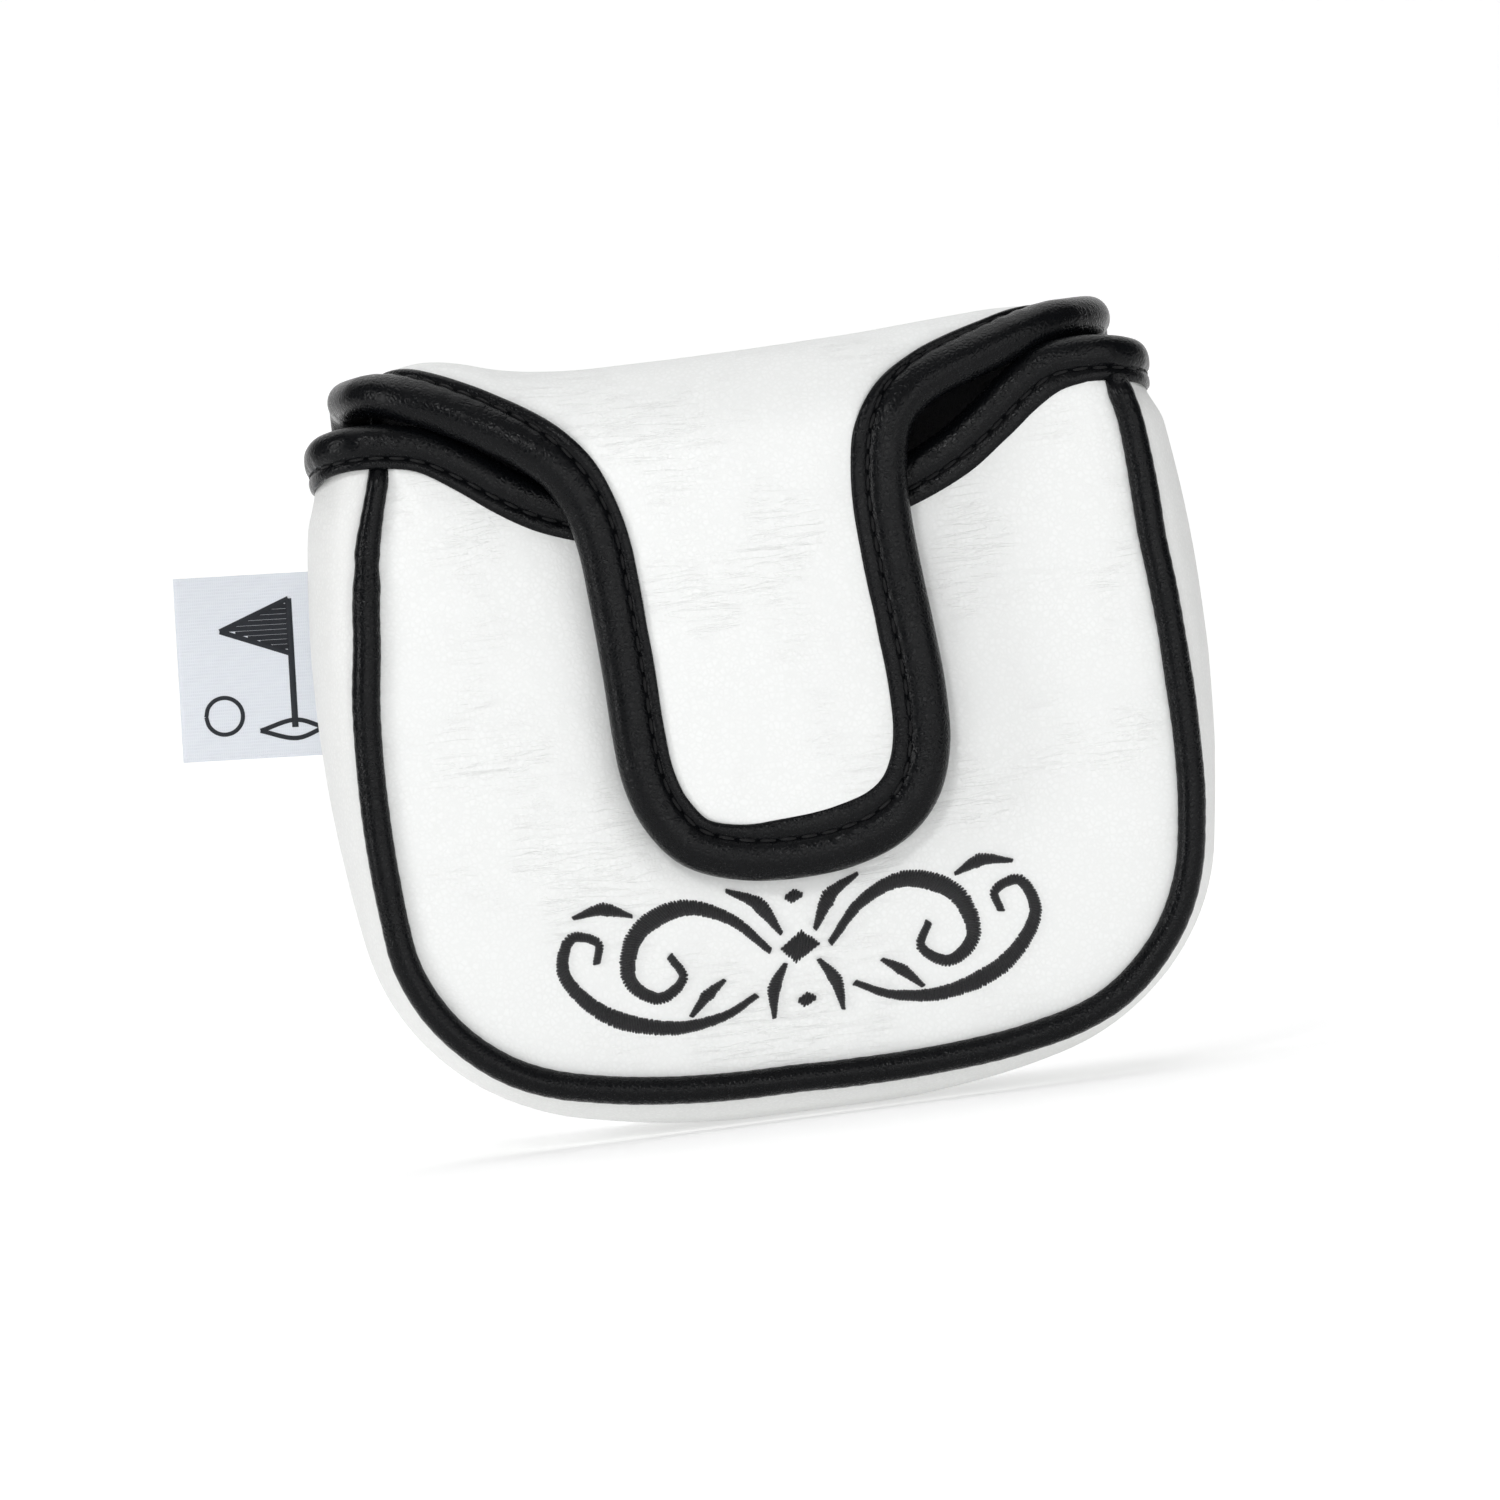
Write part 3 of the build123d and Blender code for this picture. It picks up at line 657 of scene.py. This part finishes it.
def binding_profile(path, seed, flange_width, roll=1.0):
    """The binding's section along a path. flange_width gives, for each path point, how wide the flange is,
    as a share of its usual 2.65 mm. roll scales the whole section."""
    base = densify(BINDING, 60)
    a, b = base[:, 0], base[:, 1]
    angle, outside = np.arctan2(b, a), b > 0
    groove = np.exp(-(((a - GROOVE) / 0.55) ** 2)) * outside
    by_stitch = np.exp(-(((a + 2.6) / 1.3) ** 2)) * outside
    by_groove = np.exp(-(((a + 2.2) / 1.6) ** 2)) * outside
    on_roll = smooth(-3.0, -1.5, a)
    on_flange = smooth(-3.4, -5.0, a)
    wide = bumps(path[:, [0, 2]], 17, seed)
    small = bumps(path[:, [0, 2]], 2.6, seed + 3)

    def at(i, s):
        swell = 1 + 0.035 * wide[i] * on_roll + 0.014 * small[i] * on_roll
        crimp = 0.06 * math.cos(2 * math.pi * s / STITCH) * by_stitch
        crease = noise.noise(Vector((s / 1.3, 3.1 * seed, 0.0))) * 0.09 * by_groove
        ruffle = 0.10 * noise.noise(Vector((s / 6.0, seed, 4.0))) * on_flange
        bb = b * swell - groove * 0.12 + crimp + crease * np.cos(angle * 2)
        narrow = np.where(a < FLANGE_START, FLANGE_START + (a - FLANGE_START) * flange_width[i], a)
        aa = narrow * (1 + 0.02 * wide[i] * on_roll) + ruffle
        return np.column_stack([aa, bb]) * roll * rounding(i, len(path))

    return at

def piping(seam, y, seed, thin, top=104.6):
    """The piping round a seam. Its ends tuck under a binding, a little lower and deeper at the right."""
    path = np.column_stack([seam[:, 0], np.full(len(seam), y), seam[:, 1]])
    outwards = math.copysign(1, y)
    right = seam[:, 0] > 0
    top = top - 0.4 * right
    tuck = (1.5 + 2.0 * right) * np.clip((seam[:, 1] - top) / 3.0 + 1, 0, 1) ** 2
    path[:, 1] -= outwards * tuck
    path = spline(path[seam[:, 1] < top][::3], 900)
    facing = np.tile([0.0, outwards, 0.0], (len(path), 1))
    wide = bumps(path[:, [0, 2]], 9, seed)
    angles = np.linspace(0, 2 * math.pi, 28, endpoint=False)

    def at(i, s):
        crimp = 0.02 * math.cos(2 * math.pi * s / 2.6)
        pinch = 0.03 * noise.noise(Vector((s / 1.6, seed, 0.0)))
        r = PIPING_R * (1 - thin(path[i])) * (1 + 0.03 * wide[i])
        r = r + (crimp + pinch) * np.abs(np.cos(angles)) ** 3
        return np.column_stack([np.cos(angles) * r, np.sin(angles) * r * 1.02])

    return sweep(path, facing, 1, at)

def thin_at_top(p):
    """How much thinner the front piping is near its ends, with a pinch at the left one."""
    if p[0] < 0:
        return 0.24 * float(smooth(86, 101, p[2])) + 0.10 * math.exp(-(((p[2] - 90.0) / 1.6) ** 2))
    return 0.10 * float(smooth(86, 101, p[2]))

front_piping = piping(front_seam, -PIPING_Y, 7, thin_at_top)
add_piece("front_piping_tube", front_piping, BLACK, ["front_piping", "front_piping_cord"], "pouch")
back_piping = piping(back_seam, PIPING_Y, 8, lambda p: 0.0, 106.3)
add_piece("back_piping_tube", back_piping, BLACK, ["back_piping", "back_piping_cord"], "pouch")

x = mouth_path[:, 0]
mouth_flange = 0.70 + 0.30 * smooth(-48, -28, x) + 0.22 * smooth(14, 32, x) - 0.34 * smooth(46, 56, x)
on_side = smooth(-19.5, -13, mouth_path[:, 1])
mouth_flange = mouth_flange * (1 - on_side) + on_side
mouth_profile = binding_profile(mouth_path, 11, mouth_flange, MOUTH_ROLL)
mouth_shape = sweep(mouth_path, mouth_facing, -1, mouth_profile)
add_piece("mouth_trim", mouth_shape, BLACK, ["mouth_binding", "mouth_binding_filler"], "pouch")

x, q = flap_edge[:, 0], flap_edge[:, 1]
flap_facing = arch_normal(flap_edge)
flap_flange = 0.95 - (0.32 + 0.24 * smooth(10, 24, x)) * smooth(98, 109, q)
flap_flange -= 0.28 * smooth(2, -16, x) * smooth(106, 92, q)
flap_flange += 0.5 * np.exp(-(((x - 7) / 12) ** 2)) * smooth(62, 46, q)
flap_shape = sweep(flap_path, flap_facing, 1, binding_profile(flap_path, 12, flap_flange))
flap_nodes = ["flap_binding", "flap_binding_filler", "tongue_binding", "tongue_binding_filler"]
add_piece("flap_trim", flap_shape, BLACK, flap_nodes, bend=TONGUE_BEND)

# ---------------------------------------------------------------- flap, tongue and back wall

def flap_lift(p):
    """How far the flap's white cover stands off the wall's middle."""
    d = distance_to(p, flap_edge)
    past_flange = np.maximum(d - 4.2, 0)
    lift = 1.75 + 0.7 * (1 - np.exp(-past_flange / 1.4)) + 1.25 * (1 - np.exp(-past_flange / 7))
    shoulder = smooth(108, 116, p[:, 1]) * smooth(4, 8, d)
    lift += 0.8 * np.exp(-(((p[:, 0] + 43) / 9) ** 2)) * shoulder
    lift += 0.6 * np.exp(-(((p[:, 0] - 37) / 11) ** 2)) * shoulder
    swell = bumps(p, 21, 21) * 0.28 * smooth(5, 14, d)
    ripple = bumps(p * [0.3, 1], 3.4, 22) * 0.12 * np.exp(-np.maximum(d - 5, 0) / 5)
    return lift + swell + ripple

front_edge = flap_edge[flap_edge[:, 1] < Q_SPLIT]
split_line = np.column_stack([np.linspace(front_edge[-1, 0], front_edge[0, 0], 120), np.full(120, Q_SPLIT)])
flap_outline = evenly(np.vstack([front_edge, split_line, front_edge[:1]]), 901)[:-1]
cover_shape = closed_patch(
    flap_outline, FLAP_CENTRE, ring_steps(70, 1.5),
    lambda p: arch(p, flap_lift(p)),
    lambda p: arch(p, np.full(len(p), COVER_INNER)),
)
cover_nodes = ["flap_cover", "flap_padding", "tongue_cover", "tongue_padding"]
add_piece("flap_front", cover_shape, WHITE, cover_nodes, bend=TONGUE_BEND)
lining_shape = closed_patch(
    flap_outline, FLAP_CENTRE, ring_steps(50, 1.4),
    lambda p: arch(p, np.full(len(p), LINING_OUTER)),
    lambda p: arch(p, LINING_INNER - 0.12 * bumps(p, 6, 31)),
)
add_piece("flap_inside", lining_shape, PLUSH, ["flap_lining", "tongue_lining"], bend=TONGUE_BEND)

# The back wall and the rear half of the flap are one piece: rows up the back and over the top
seam_side = back_seam[back_seam[:, 1] < BACK_SEAM_TOP]

def back_grid():
    """Rows of points (x, q) up the back wall and over the top to the split, and each row's height z."""
    q_bottom = Q_DOWN + (ARCH_TOP - BACK_BEND)
    q = np.concatenate(
        [
            q_bottom - np.linspace(6.05, 14, 34),
            q_bottom - np.linspace(14, 100, 88)[1:],
            np.linspace(q_bottom - 100, Q_SPLIT, 74)[1:],
        ]
    )
    right = seam_side[seam_side[:, 0] > 0]
    edge_right = flap_edge[len(flap_edge) // 2 :]
    edge_right = edge_right[edge_right[:, 1] > Q_SPLIT - 3]
    z = q_bottom - q
    wall_half = np.interp(z, right[:, 1], right[:, 0])
    flap_half = np.interp(q, edge_right[:, 1], edge_right[:, 0])
    half = wall_half + (flap_half - wall_half) * smooth(98, 105.5, z)
    across = np.sin(np.linspace(-1, 1, 121) * math.pi / 2)
    return np.stack([np.column_stack([across * h, np.full(len(across), row)]) for h, row in zip(half, q)]), z

def back_lift(flat, z):
    """How far the back wall, and the flap that it turns into, stand off the wall's middle."""
    d = distance_to(np.column_stack([flat[:, 0], np.minimum(z, 96)]), seam_side)
    wall = 0.35 + 1.95 * (1 - np.exp(-d / 1.9)) + 0.9 * (1 - np.exp(-d / 14))
    wall += bumps(flat, 24, 41) * 0.3 * smooth(0, 12, d)
    wall += bumps(flat * [0.35, 1], 3.2, 42) * np.exp(-d / 5) * 0.14
    on_flap = smooth(96, 108, z)
    return wall * (1 - on_flap) + flap_lift(flat) * on_flap

grid, grid_z = back_grid()
rows, columns = grid.shape[:2]
flat = grid.reshape(-1, 2)
level = np.ones(len(flat))
cover_lift = back_lift(flat, np.repeat(grid_z, columns))
for name, material, outer, inner, nodes in (
    ("back_wall", WHITE, cover_lift, COVER_INNER, ["back_panel", "back_padding"]),
    ("back_inside", PLUSH, level * LINING_OUTER, LINING_INNER, ["back_lining"]),
):
    points = np.vstack([arch(flat, outer), arch(flat, level * inner)])
    shape = points, shell_faces(rows, columns), np.vstack([flat, flat])
    add_piece(name, shape, material, nodes, bend=FLAP_BEND)

# ---------------------------------------------------------------- lining of the pouch

def lining_bag():
    """The lining along the gusset, turned in at both seams."""
    rows, columns, half, turn = len(seam_points), 41, 19.5, 6.0
    s = length_along(seam_points)
    layers = []
    for depth in (0.0, 1.1):
        line = seam_points - seam_normals * (LINING_GAP + depth)
        layer = []
        for v in np.linspace(-1, 1, columns):
            y = half * v
            edge = max(0.0, abs(y) - (half - turn))
            tuck = turn - math.sqrt(max(0.0, turn * turn - edge * edge))
            pile = bumps(np.column_stack([s, np.full(rows, y)]), 5, 51) * 0.12 * (depth > 0)
            p = line - seam_normals * (tuck + np.abs(pile))[:, None]
            layer.append(np.column_stack([p[:, 0], np.full(rows, y * (1 - depth * 0.05)), p[:, 1]]))
        layers.append(np.stack(layer, 1).reshape(-1, 3))
    flat = np.column_stack([np.tile(np.linspace(-20, 20, columns), rows), np.repeat(s, columns)])
    return np.vstack(layers), shell_faces(rows, columns), np.vstack([flat, flat])

add_piece("gusset_inside", lining_bag(), PLUSH, ["gusset_lining"], "pouch")

inside_edge = seam_points - seam_normals * 9.2
inside_edge = inside_edge[inside_edge[:, 1] < LINING_TOP]
inside_outline = evenly(np.vstack([inside_edge, mouth_front[::-1], inside_edge[:1]]), 701)[:-1]
inside_faces = flat_at(LINING_FRONT_Y), flat_at(LINING_BACK_Y, 0.12, 52)
inside_shape = closed_patch(inside_outline, PATCH_CENTRE, ring_steps(44), *inside_faces)
add_piece("front_inside", inside_shape, PLUSH, ["front_lining"], "pouch")

# ---------------------------------------------------------------- stitches

def stitch_row(path, facing, side, scale, radius):
    """Short rounded stitches lying in the groove of a binding along a path."""
    face, edge = beside(path, facing, side)
    line = path + edge * STITCH_OUT * scale + face * STITCH_LIFT * scale
    s = length_along(line)
    verts, faces, grain = [], [], []
    k = 8
    around = np.linspace(0, 2 * math.pi, k, endpoint=False)
    steps = np.linspace(0, 1, 7)
    at = STITCH / 2
    while at + STITCH_LENGTH < s[-1] - STITCH:
        first = len(verts)
        where = at + steps * STITCH_LENGTH
        lines = (line, face, edge)
        centre, f, e = (np.column_stack([np.interp(where, s, v[:, i]) for i in range(3)]) for v in lines)
        f, e = unit(f), unit(e)
        for i, u in enumerate(steps):
            r = radius * math.sin(math.pi * (0.12 + 0.76 * u)) ** 0.5
            dip = -0.32 * (1 - math.sin(math.pi * (0.08 + 0.84 * u)) ** 0.6)
            for a in around:
                verts.append(centre[i] + e[i] * math.cos(a) * r + f[i] * (math.sin(a) * r + dip))
                grain.append((a * radius, where[i], 0))
        faces += tube_faces(len(steps), k, first)
        at += STITCH
    return np.array(verts), faces, np.array(grain)

mouth_stitches = stitch_row(mouth_path, mouth_facing, -1, MOUTH_ROLL, 0.26)
add_piece("mouth_stitches", mouth_stitches, THREAD, ["mouth_thread"], "pouch")
flap_stitches = stitch_row(flap_path, flap_facing, 1, 1.0, 0.27)
add_piece("flap_stitches", flap_stitches, THREAD, ["tongue_thread"], bend=TONGUE_BEND)

# ---------------------------------------------------------------- embroidery

SCROLL_Z = 25.5
SATIN_PITCH, SATIN_RADIUS = 0.40, 0.27
# Each stroke: its line, and its width at start, middle and end. Each has a mirror image on the left.
SCROLL = [
    ([(4.6, 0), (10, 5.5), (17, 8), (24, 5), (26, -1.5), (22, -5), (18, -2.5), (19.5, 1)], (0.9, 2.9, 1.0)),
    (
        [(7.5, -6.5), (13, -9), (21, -9.6), (30, -6.5), (35.5, 0), (34, 5.5), (30, 4.5), (30.5, 1.5)],
        (0.8, 2.6, 1.0),
    ),
    ([(2.6, 2.4), (5.4, 7.0), (9.8, 9.6)], (0.6, 2.3, 0.5)),
    ([(2.6, -2.4), (4.6, -5.6), (5.2, -10.0)], (0.6, 2.0, 0.5)),
    ([(24.5, 7.8), (28.5, 9.3), (33.0, 8.6)], (0.5, 2.0, 0.5)),
    ([(12.0, -3.6), (14.6, -5.4), (17.4, -8.2)], (0.5, 1.8, 0.6)),
]

def satin(strokes):
    """Rows of slanting threads laid side by side across each stroke, on the front wall's face."""
    steps = np.linspace(-1, 1, 6)
    threads = []
    for points, widths, mirror, seed in strokes:
        p = spline([(x * mirror, SCROLL_Z + z) for x, z in points], 400)
        s = length_along(p)
        tangent = unit(np.gradient(p, axis=0))
        count = int(s[-1] / SATIN_PITCH)
        for i in range(count + 1):
            at = s[-1] * i / count
            c, t = (np.array([np.interp(at, s, v[:, 0]), np.interp(at, s, v[:, 1])]) for v in (p, tangent))
            jitter = noise.noise(Vector((i * 0.91, seed, 0.0)))
            half = np.interp(at / s[-1], [0, 0.45, 1], widths) / 2 * (1 + 0.16 * jitter) + 0.12
            lean = math.radians(16 + 5 * jitter)
            d = np.array([-t[1], t[0]]) * math.cos(lean) + t * math.sin(lean) * mirror
            threads.append((c + steps[:, None] * half * d, t, half, i))
    face = front_outer(np.vstack([thread[0] for thread in threads]))[:, 1].reshape(-1, len(steps))
    k = 7
    around = np.linspace(0, 2 * math.pi, k, endpoint=False)
    verts, faces, grain = [], [], []
    for (spots, t, half, i), ys in zip(threads, face):
        faces += tube_faces(len(steps), k, len(verts))
        for j, u in enumerate(steps):
            dome = 0.40 * math.sqrt(max(0.0, 1 - abs(u) ** 2.4)) - 0.10
            r = SATIN_RADIUS * (0.55 if abs(u) > 0.99 else 1.0)
            for a in around:
                x, z = spots[j] + t * math.cos(a) * r
                verts.append((x, ys[j] - dome - math.sin(a) * r * 0.8, z))
                grain.append((a * r, u * half + i * 3.7, 0))
    return np.array(verts), faces, np.array(grain)

strokes = []
for number, (points, widths) in enumerate(SCROLL):
    strokes.append((points, widths, 1, number + 0.5))
    strokes.append((points, widths, -1, number + 8.5))
# A diamond in the middle, and a dot above and below it
strokes.append(([(-2.7, 0), (0, 0), (2.7, 0)], (0.3, 5.0, 0.3), 1, 20.5))
for z in (7.6, -8.0):
    strokes.append(([(-1.1, z), (0, z), (1.1, z)], (0.7, 2.2, 0.7), 1, 21.5 + z))
add_piece("scroll_embroidery", satin(strokes), EMBROIDERY, ["front_embroidery"], "pouch")

# ---------------------------------------------------------------- woven label

LABEL_SIZE = (24.6, 28.4)
LABEL_MIDDLE = (-76.1, 77.8)
LABEL_TURN = math.radians(-4.2)

def label_place(u, v, lift):
    """u runs from the sewn edge (0) to the fold (1), v up the label, both from 0 to 1."""
    x = -(u - 0.5) * LABEL_SIZE[0]
    z = (v - 0.5) * LABEL_SIZE[1]
    c, s = math.cos(LABEL_TURN), math.sin(LABEL_TURN)
    bow = 0.9 * np.sin(u * math.pi * 0.9) * (0.6 + 0.4 * v) + 0.35 * np.sin(v * 5.2 + 0.8) * u
    y = 22.9 + 0.35 * u + bow * 0.8
    return np.column_stack([LABEL_MIDDLE[0] + x * c - z * s, y + lift, LABEL_MIDDLE[1] + x * s + z * c])

def label_mesh():
    """A ribbon folded once: two thin layers with a little air between them, that meet in a rounded fold."""
    run = np.linspace(0, 1, 60)
    turn = np.linspace(0, math.pi, 12)[1:-1]
    u, lift = [], []
    for half, order in ((0.36, 1), (0.09, -1)):
        over = np.concatenate([run, 1 + half * np.sin(turn) / LABEL_SIZE[0], run[::-1]])
        across = np.concatenate([np.full(60, -half), -half * np.cos(turn), np.full(60, half)])
        u.append(over[::order])
        lift.append(across[::order])
    u, lift = np.concatenate(u), np.concatenate(lift)
    v = np.linspace(0, 1, 70)
    columns = len(u)
    along = length_along(np.column_stack([u * LABEL_SIZE[0], lift]))
    verts, grain = [], []
    for row in v:
        verts.append(label_place(u, np.full(columns, row), lift))
        grain.append(np.column_stack([along, np.full(columns, row * LABEL_SIZE[1])]))
    faces = grid_faces(len(v), columns, True)
    # both cut edges of the ribbon: a strip between the outer and the inner face
    layer = columns // 2
    for row, flip in ((0, False), (len(v) - 1, True)):
        for c in range(layer - 1):
            quad = (c, c + 1, columns - 2 - c, columns - 1 - c)
            quad = tuple(row * columns + q for q in quad)
            faces.append(quad[::-1] if flip else quad)
    return np.vstack(verts), faces, np.vstack(grain)

label = add_piece("label_ribbon", label_mesh(), LABEL, ["side_label"], bend=LABEL_BEND)

def label_ink():
    """A flag on a stick, a ball and a ring round the hole, in dark thread a little proud of the ribbon."""
    lines = [
        ([(0.30, 0.16), (0.30, 0.50), (0.30, 0.86)], 1.0),
        ([(0.30, 0.86), (0.52, 0.78), (0.74, 0.70)], 0.8),
        ([(0.74, 0.70), (0.52, 0.63), (0.30, 0.56)], 0.8),
        ([(0.12, 0.15), (0.30, 0.10), (0.52, 0.15)], 0.7),
        ([(0.52, 0.15), (0.30, 0.20), (0.12, 0.15)], 0.7),
    ]
    for row in np.linspace(0.60, 0.82, 9):
        reach = 0.30 + 0.42 * (1 - abs(row - 0.71) / 0.15)
        if reach > 0.33:
            lines.append(([(0.31, row), ((0.31 + reach) / 2, row), (reach, row)], 0.75))
    ball = [(0.74 + 0.115 * math.cos(a), 0.24 + 0.10 * math.sin(a)) for a in np.linspace(0, 2 * math.pi, 13)]
    lines.append((ball, 0.65))
    count = 60
    ribs = ((-1, -0.36), (-0.75, -0.46), (0, -0.50), (0.75, -0.46), (1, -0.36))
    last = (len(ribs) - 1) * count
    verts, faces, grain = [], [], []
    for points, width in lines:
        p = spline(points, count) * LABEL_SIZE
        t = unit(np.gradient(p, axis=0))
        n = np.column_stack([-t[:, 1], t[:, 0]])
        quads = grid_faces(len(ribs), count)
        quads += [(i, i + 1, last + i + 1, last + i) for i in range(count - 1)]
        quads.append(tuple(r * count for r in range(len(ribs))))
        quads.append(tuple(count - 1 + r * count for r in reversed(range(len(ribs)))))
        faces += [tuple(len(verts) + q for q in f) for f in quads]
        for side, lift in ribs:
            edge = (p + n * side * width / 2) / LABEL_SIZE
            verts.extend(label_place(edge[:, 0], edge[:, 1], np.full(count, lift)))
            grain.extend(np.column_stack([np.full(count, side * width / 2), np.linspace(0, 12, count)]))
    return np.array(verts), faces, np.array(grain)

ink = mesh("label_motif", *label_ink())
ink.data.materials.append(LABEL_INK)
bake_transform(ink)

# ---------------------------------------------------------------- CAD nodes that stay

for name in ("pouch_magnets", "tongue_magnets"):
    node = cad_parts[name]
    node.data.materials.clear()
    node.data.materials.append(STEEL)

# ---------------------------------------------------------------- stage, light and camera

def stage_floor():
    """A pale floor, in metres, lit from beneath and curving up into a backdrop."""
    n = Nodes("pale_floor")
    speck = n.new("TexNoise")
    n.fill(speck, Vector=n.new("TexCoord").outputs["Object"], Scale=6)
    n.fill(n.shader, Emission_Color=(1, 1, 1, 1), Emission_Strength=0.28)
    n.finish(n.mix(speck.outputs["Fac"], (0.93, 0.93, 0.93), (0.95, 0.95, 0.95)), 0.9, spec=0.1)
    side, front, back, bend = 3.0, -3.0, 1.6, 0.8
    profile = [(front, 0.0), (back, 0.0)]
    for a in np.linspace(0.05, math.pi / 2, 24):
        profile.append((back + bend * math.sin(a), bend - bend * math.cos(a)))
    profile.append((back + bend, 3.2))
    verts = [(x, y, z - 0.00005) for y, z in profile for x in (-side, side)]
    faces = [(2 * i, 2 * i + 1, 2 * i + 3, 2 * i + 2) for i in range(len(profile) - 1)]
    data = bpy.data.meshes.new("floor")
    data.from_pydata(verts, [], faces)
    data.polygons.foreach_set("use_smooth", [True] * len(faces))
    made = bpy.data.objects.new("floor", data)
    bpy.context.scene.collection.objects.link(made)
    data.materials.append(n.material)

def softbox(name, place, target, size, power):
    """A soft rectangular light, in metres and watts."""
    data = bpy.data.lights.new(name, "AREA")
    data.shape = "RECTANGLE"
    data.size, data.size_y = size
    data.energy = power
    made = bpy.data.objects.new(name, data)
    made.location = place
    made.rotation_euler = (Vector(target) - Vector(place)).to_track_quat("-Z", "Y").to_euler()
    bpy.context.scene.collection.objects.link(made)

def studio_camera(distance, view_width, azimuth, elevation, roll):
    """A long lens aimed at the cover and rolled about its view axis. Lengths are metres, angles degrees."""
    azimuth, elevation, roll = map(math.radians, (azimuth, elevation, roll))
    level = math.cos(elevation)
    back = Vector((math.sin(azimuth) * level, -math.cos(azimuth) * level, math.sin(elevation)))
    turn = (-back).to_track_quat("-Z", "Y").to_matrix().to_4x4()
    view_axis = (turn.to_3x3() @ Vector((0, 0, 1))).normalized()
    data = bpy.data.cameras.new("camera")
    data.sensor_width = 36
    data.lens = 36 * distance / view_width
    data.clip_start, data.clip_end = 0.01, 20
    camera = bpy.data.objects.new("camera", data)
    camera.location = AIM + back * distance
    camera.rotation_euler = (Matrix.Rotation(-roll, 4, view_axis) @ turn).to_euler()
    bpy.context.scene.collection.objects.link(camera)
    bpy.context.scene.camera = camera

AIM = Vector((-0.0036, -0.0230, 0.0556))
stage_floor()
for light in (
    ("key", (-0.35, -1.35, 0.75), AIM, (0.24, 0.24), 3.6),
    ("front", (0.12, -1.55, 0.32), AIM, (0.20, 0.20), 0.8),
    ("fill", (0.95, -1.10, 0.35), AIM, (0.9, 0.9), 4.3),
    ("left", (-1.25, -0.45, 0.40), AIM, (0.30, 0.9), 5.5),
    ("low", (0.10, -1.30, 0.10), (0.0, -0.02, 0.02), (1.2, 0.15), 2.1),
    ("top", (0.0, 0.10, 1.25), AIM, (1.2, 0.9), 5.4),
    ("floor", (0.0, -0.9, 1.2), (0.0, -0.8, 0.0), (1.5, 0.8), 1.65),
    ("far floor", (0.0, 0.9, 1.2), (0.0, 0.8, 0.0), (2.2, 1.0), 4.8),
    ("backdrop", (0.0, 1.0, 1.3), (0.0, 2.4, 0.35), (1.6, 0.6), 8.7),
):
    softbox(*light)

world = bpy.data.worlds.new("studio")
bpy.context.scene.world = world
world.use_nodes = True
world.node_tree.nodes["Background"].inputs["Color"].default_value = (1, 1, 1, 1)
world.node_tree.nodes["Background"].inputs["Strength"].default_value = 0.10

studio_camera(1.45, 0.2246, azimuth=-1.0, elevation=0.6, roll=7.5)
bpy.context.scene.view_settings.view_transform = "Standard"
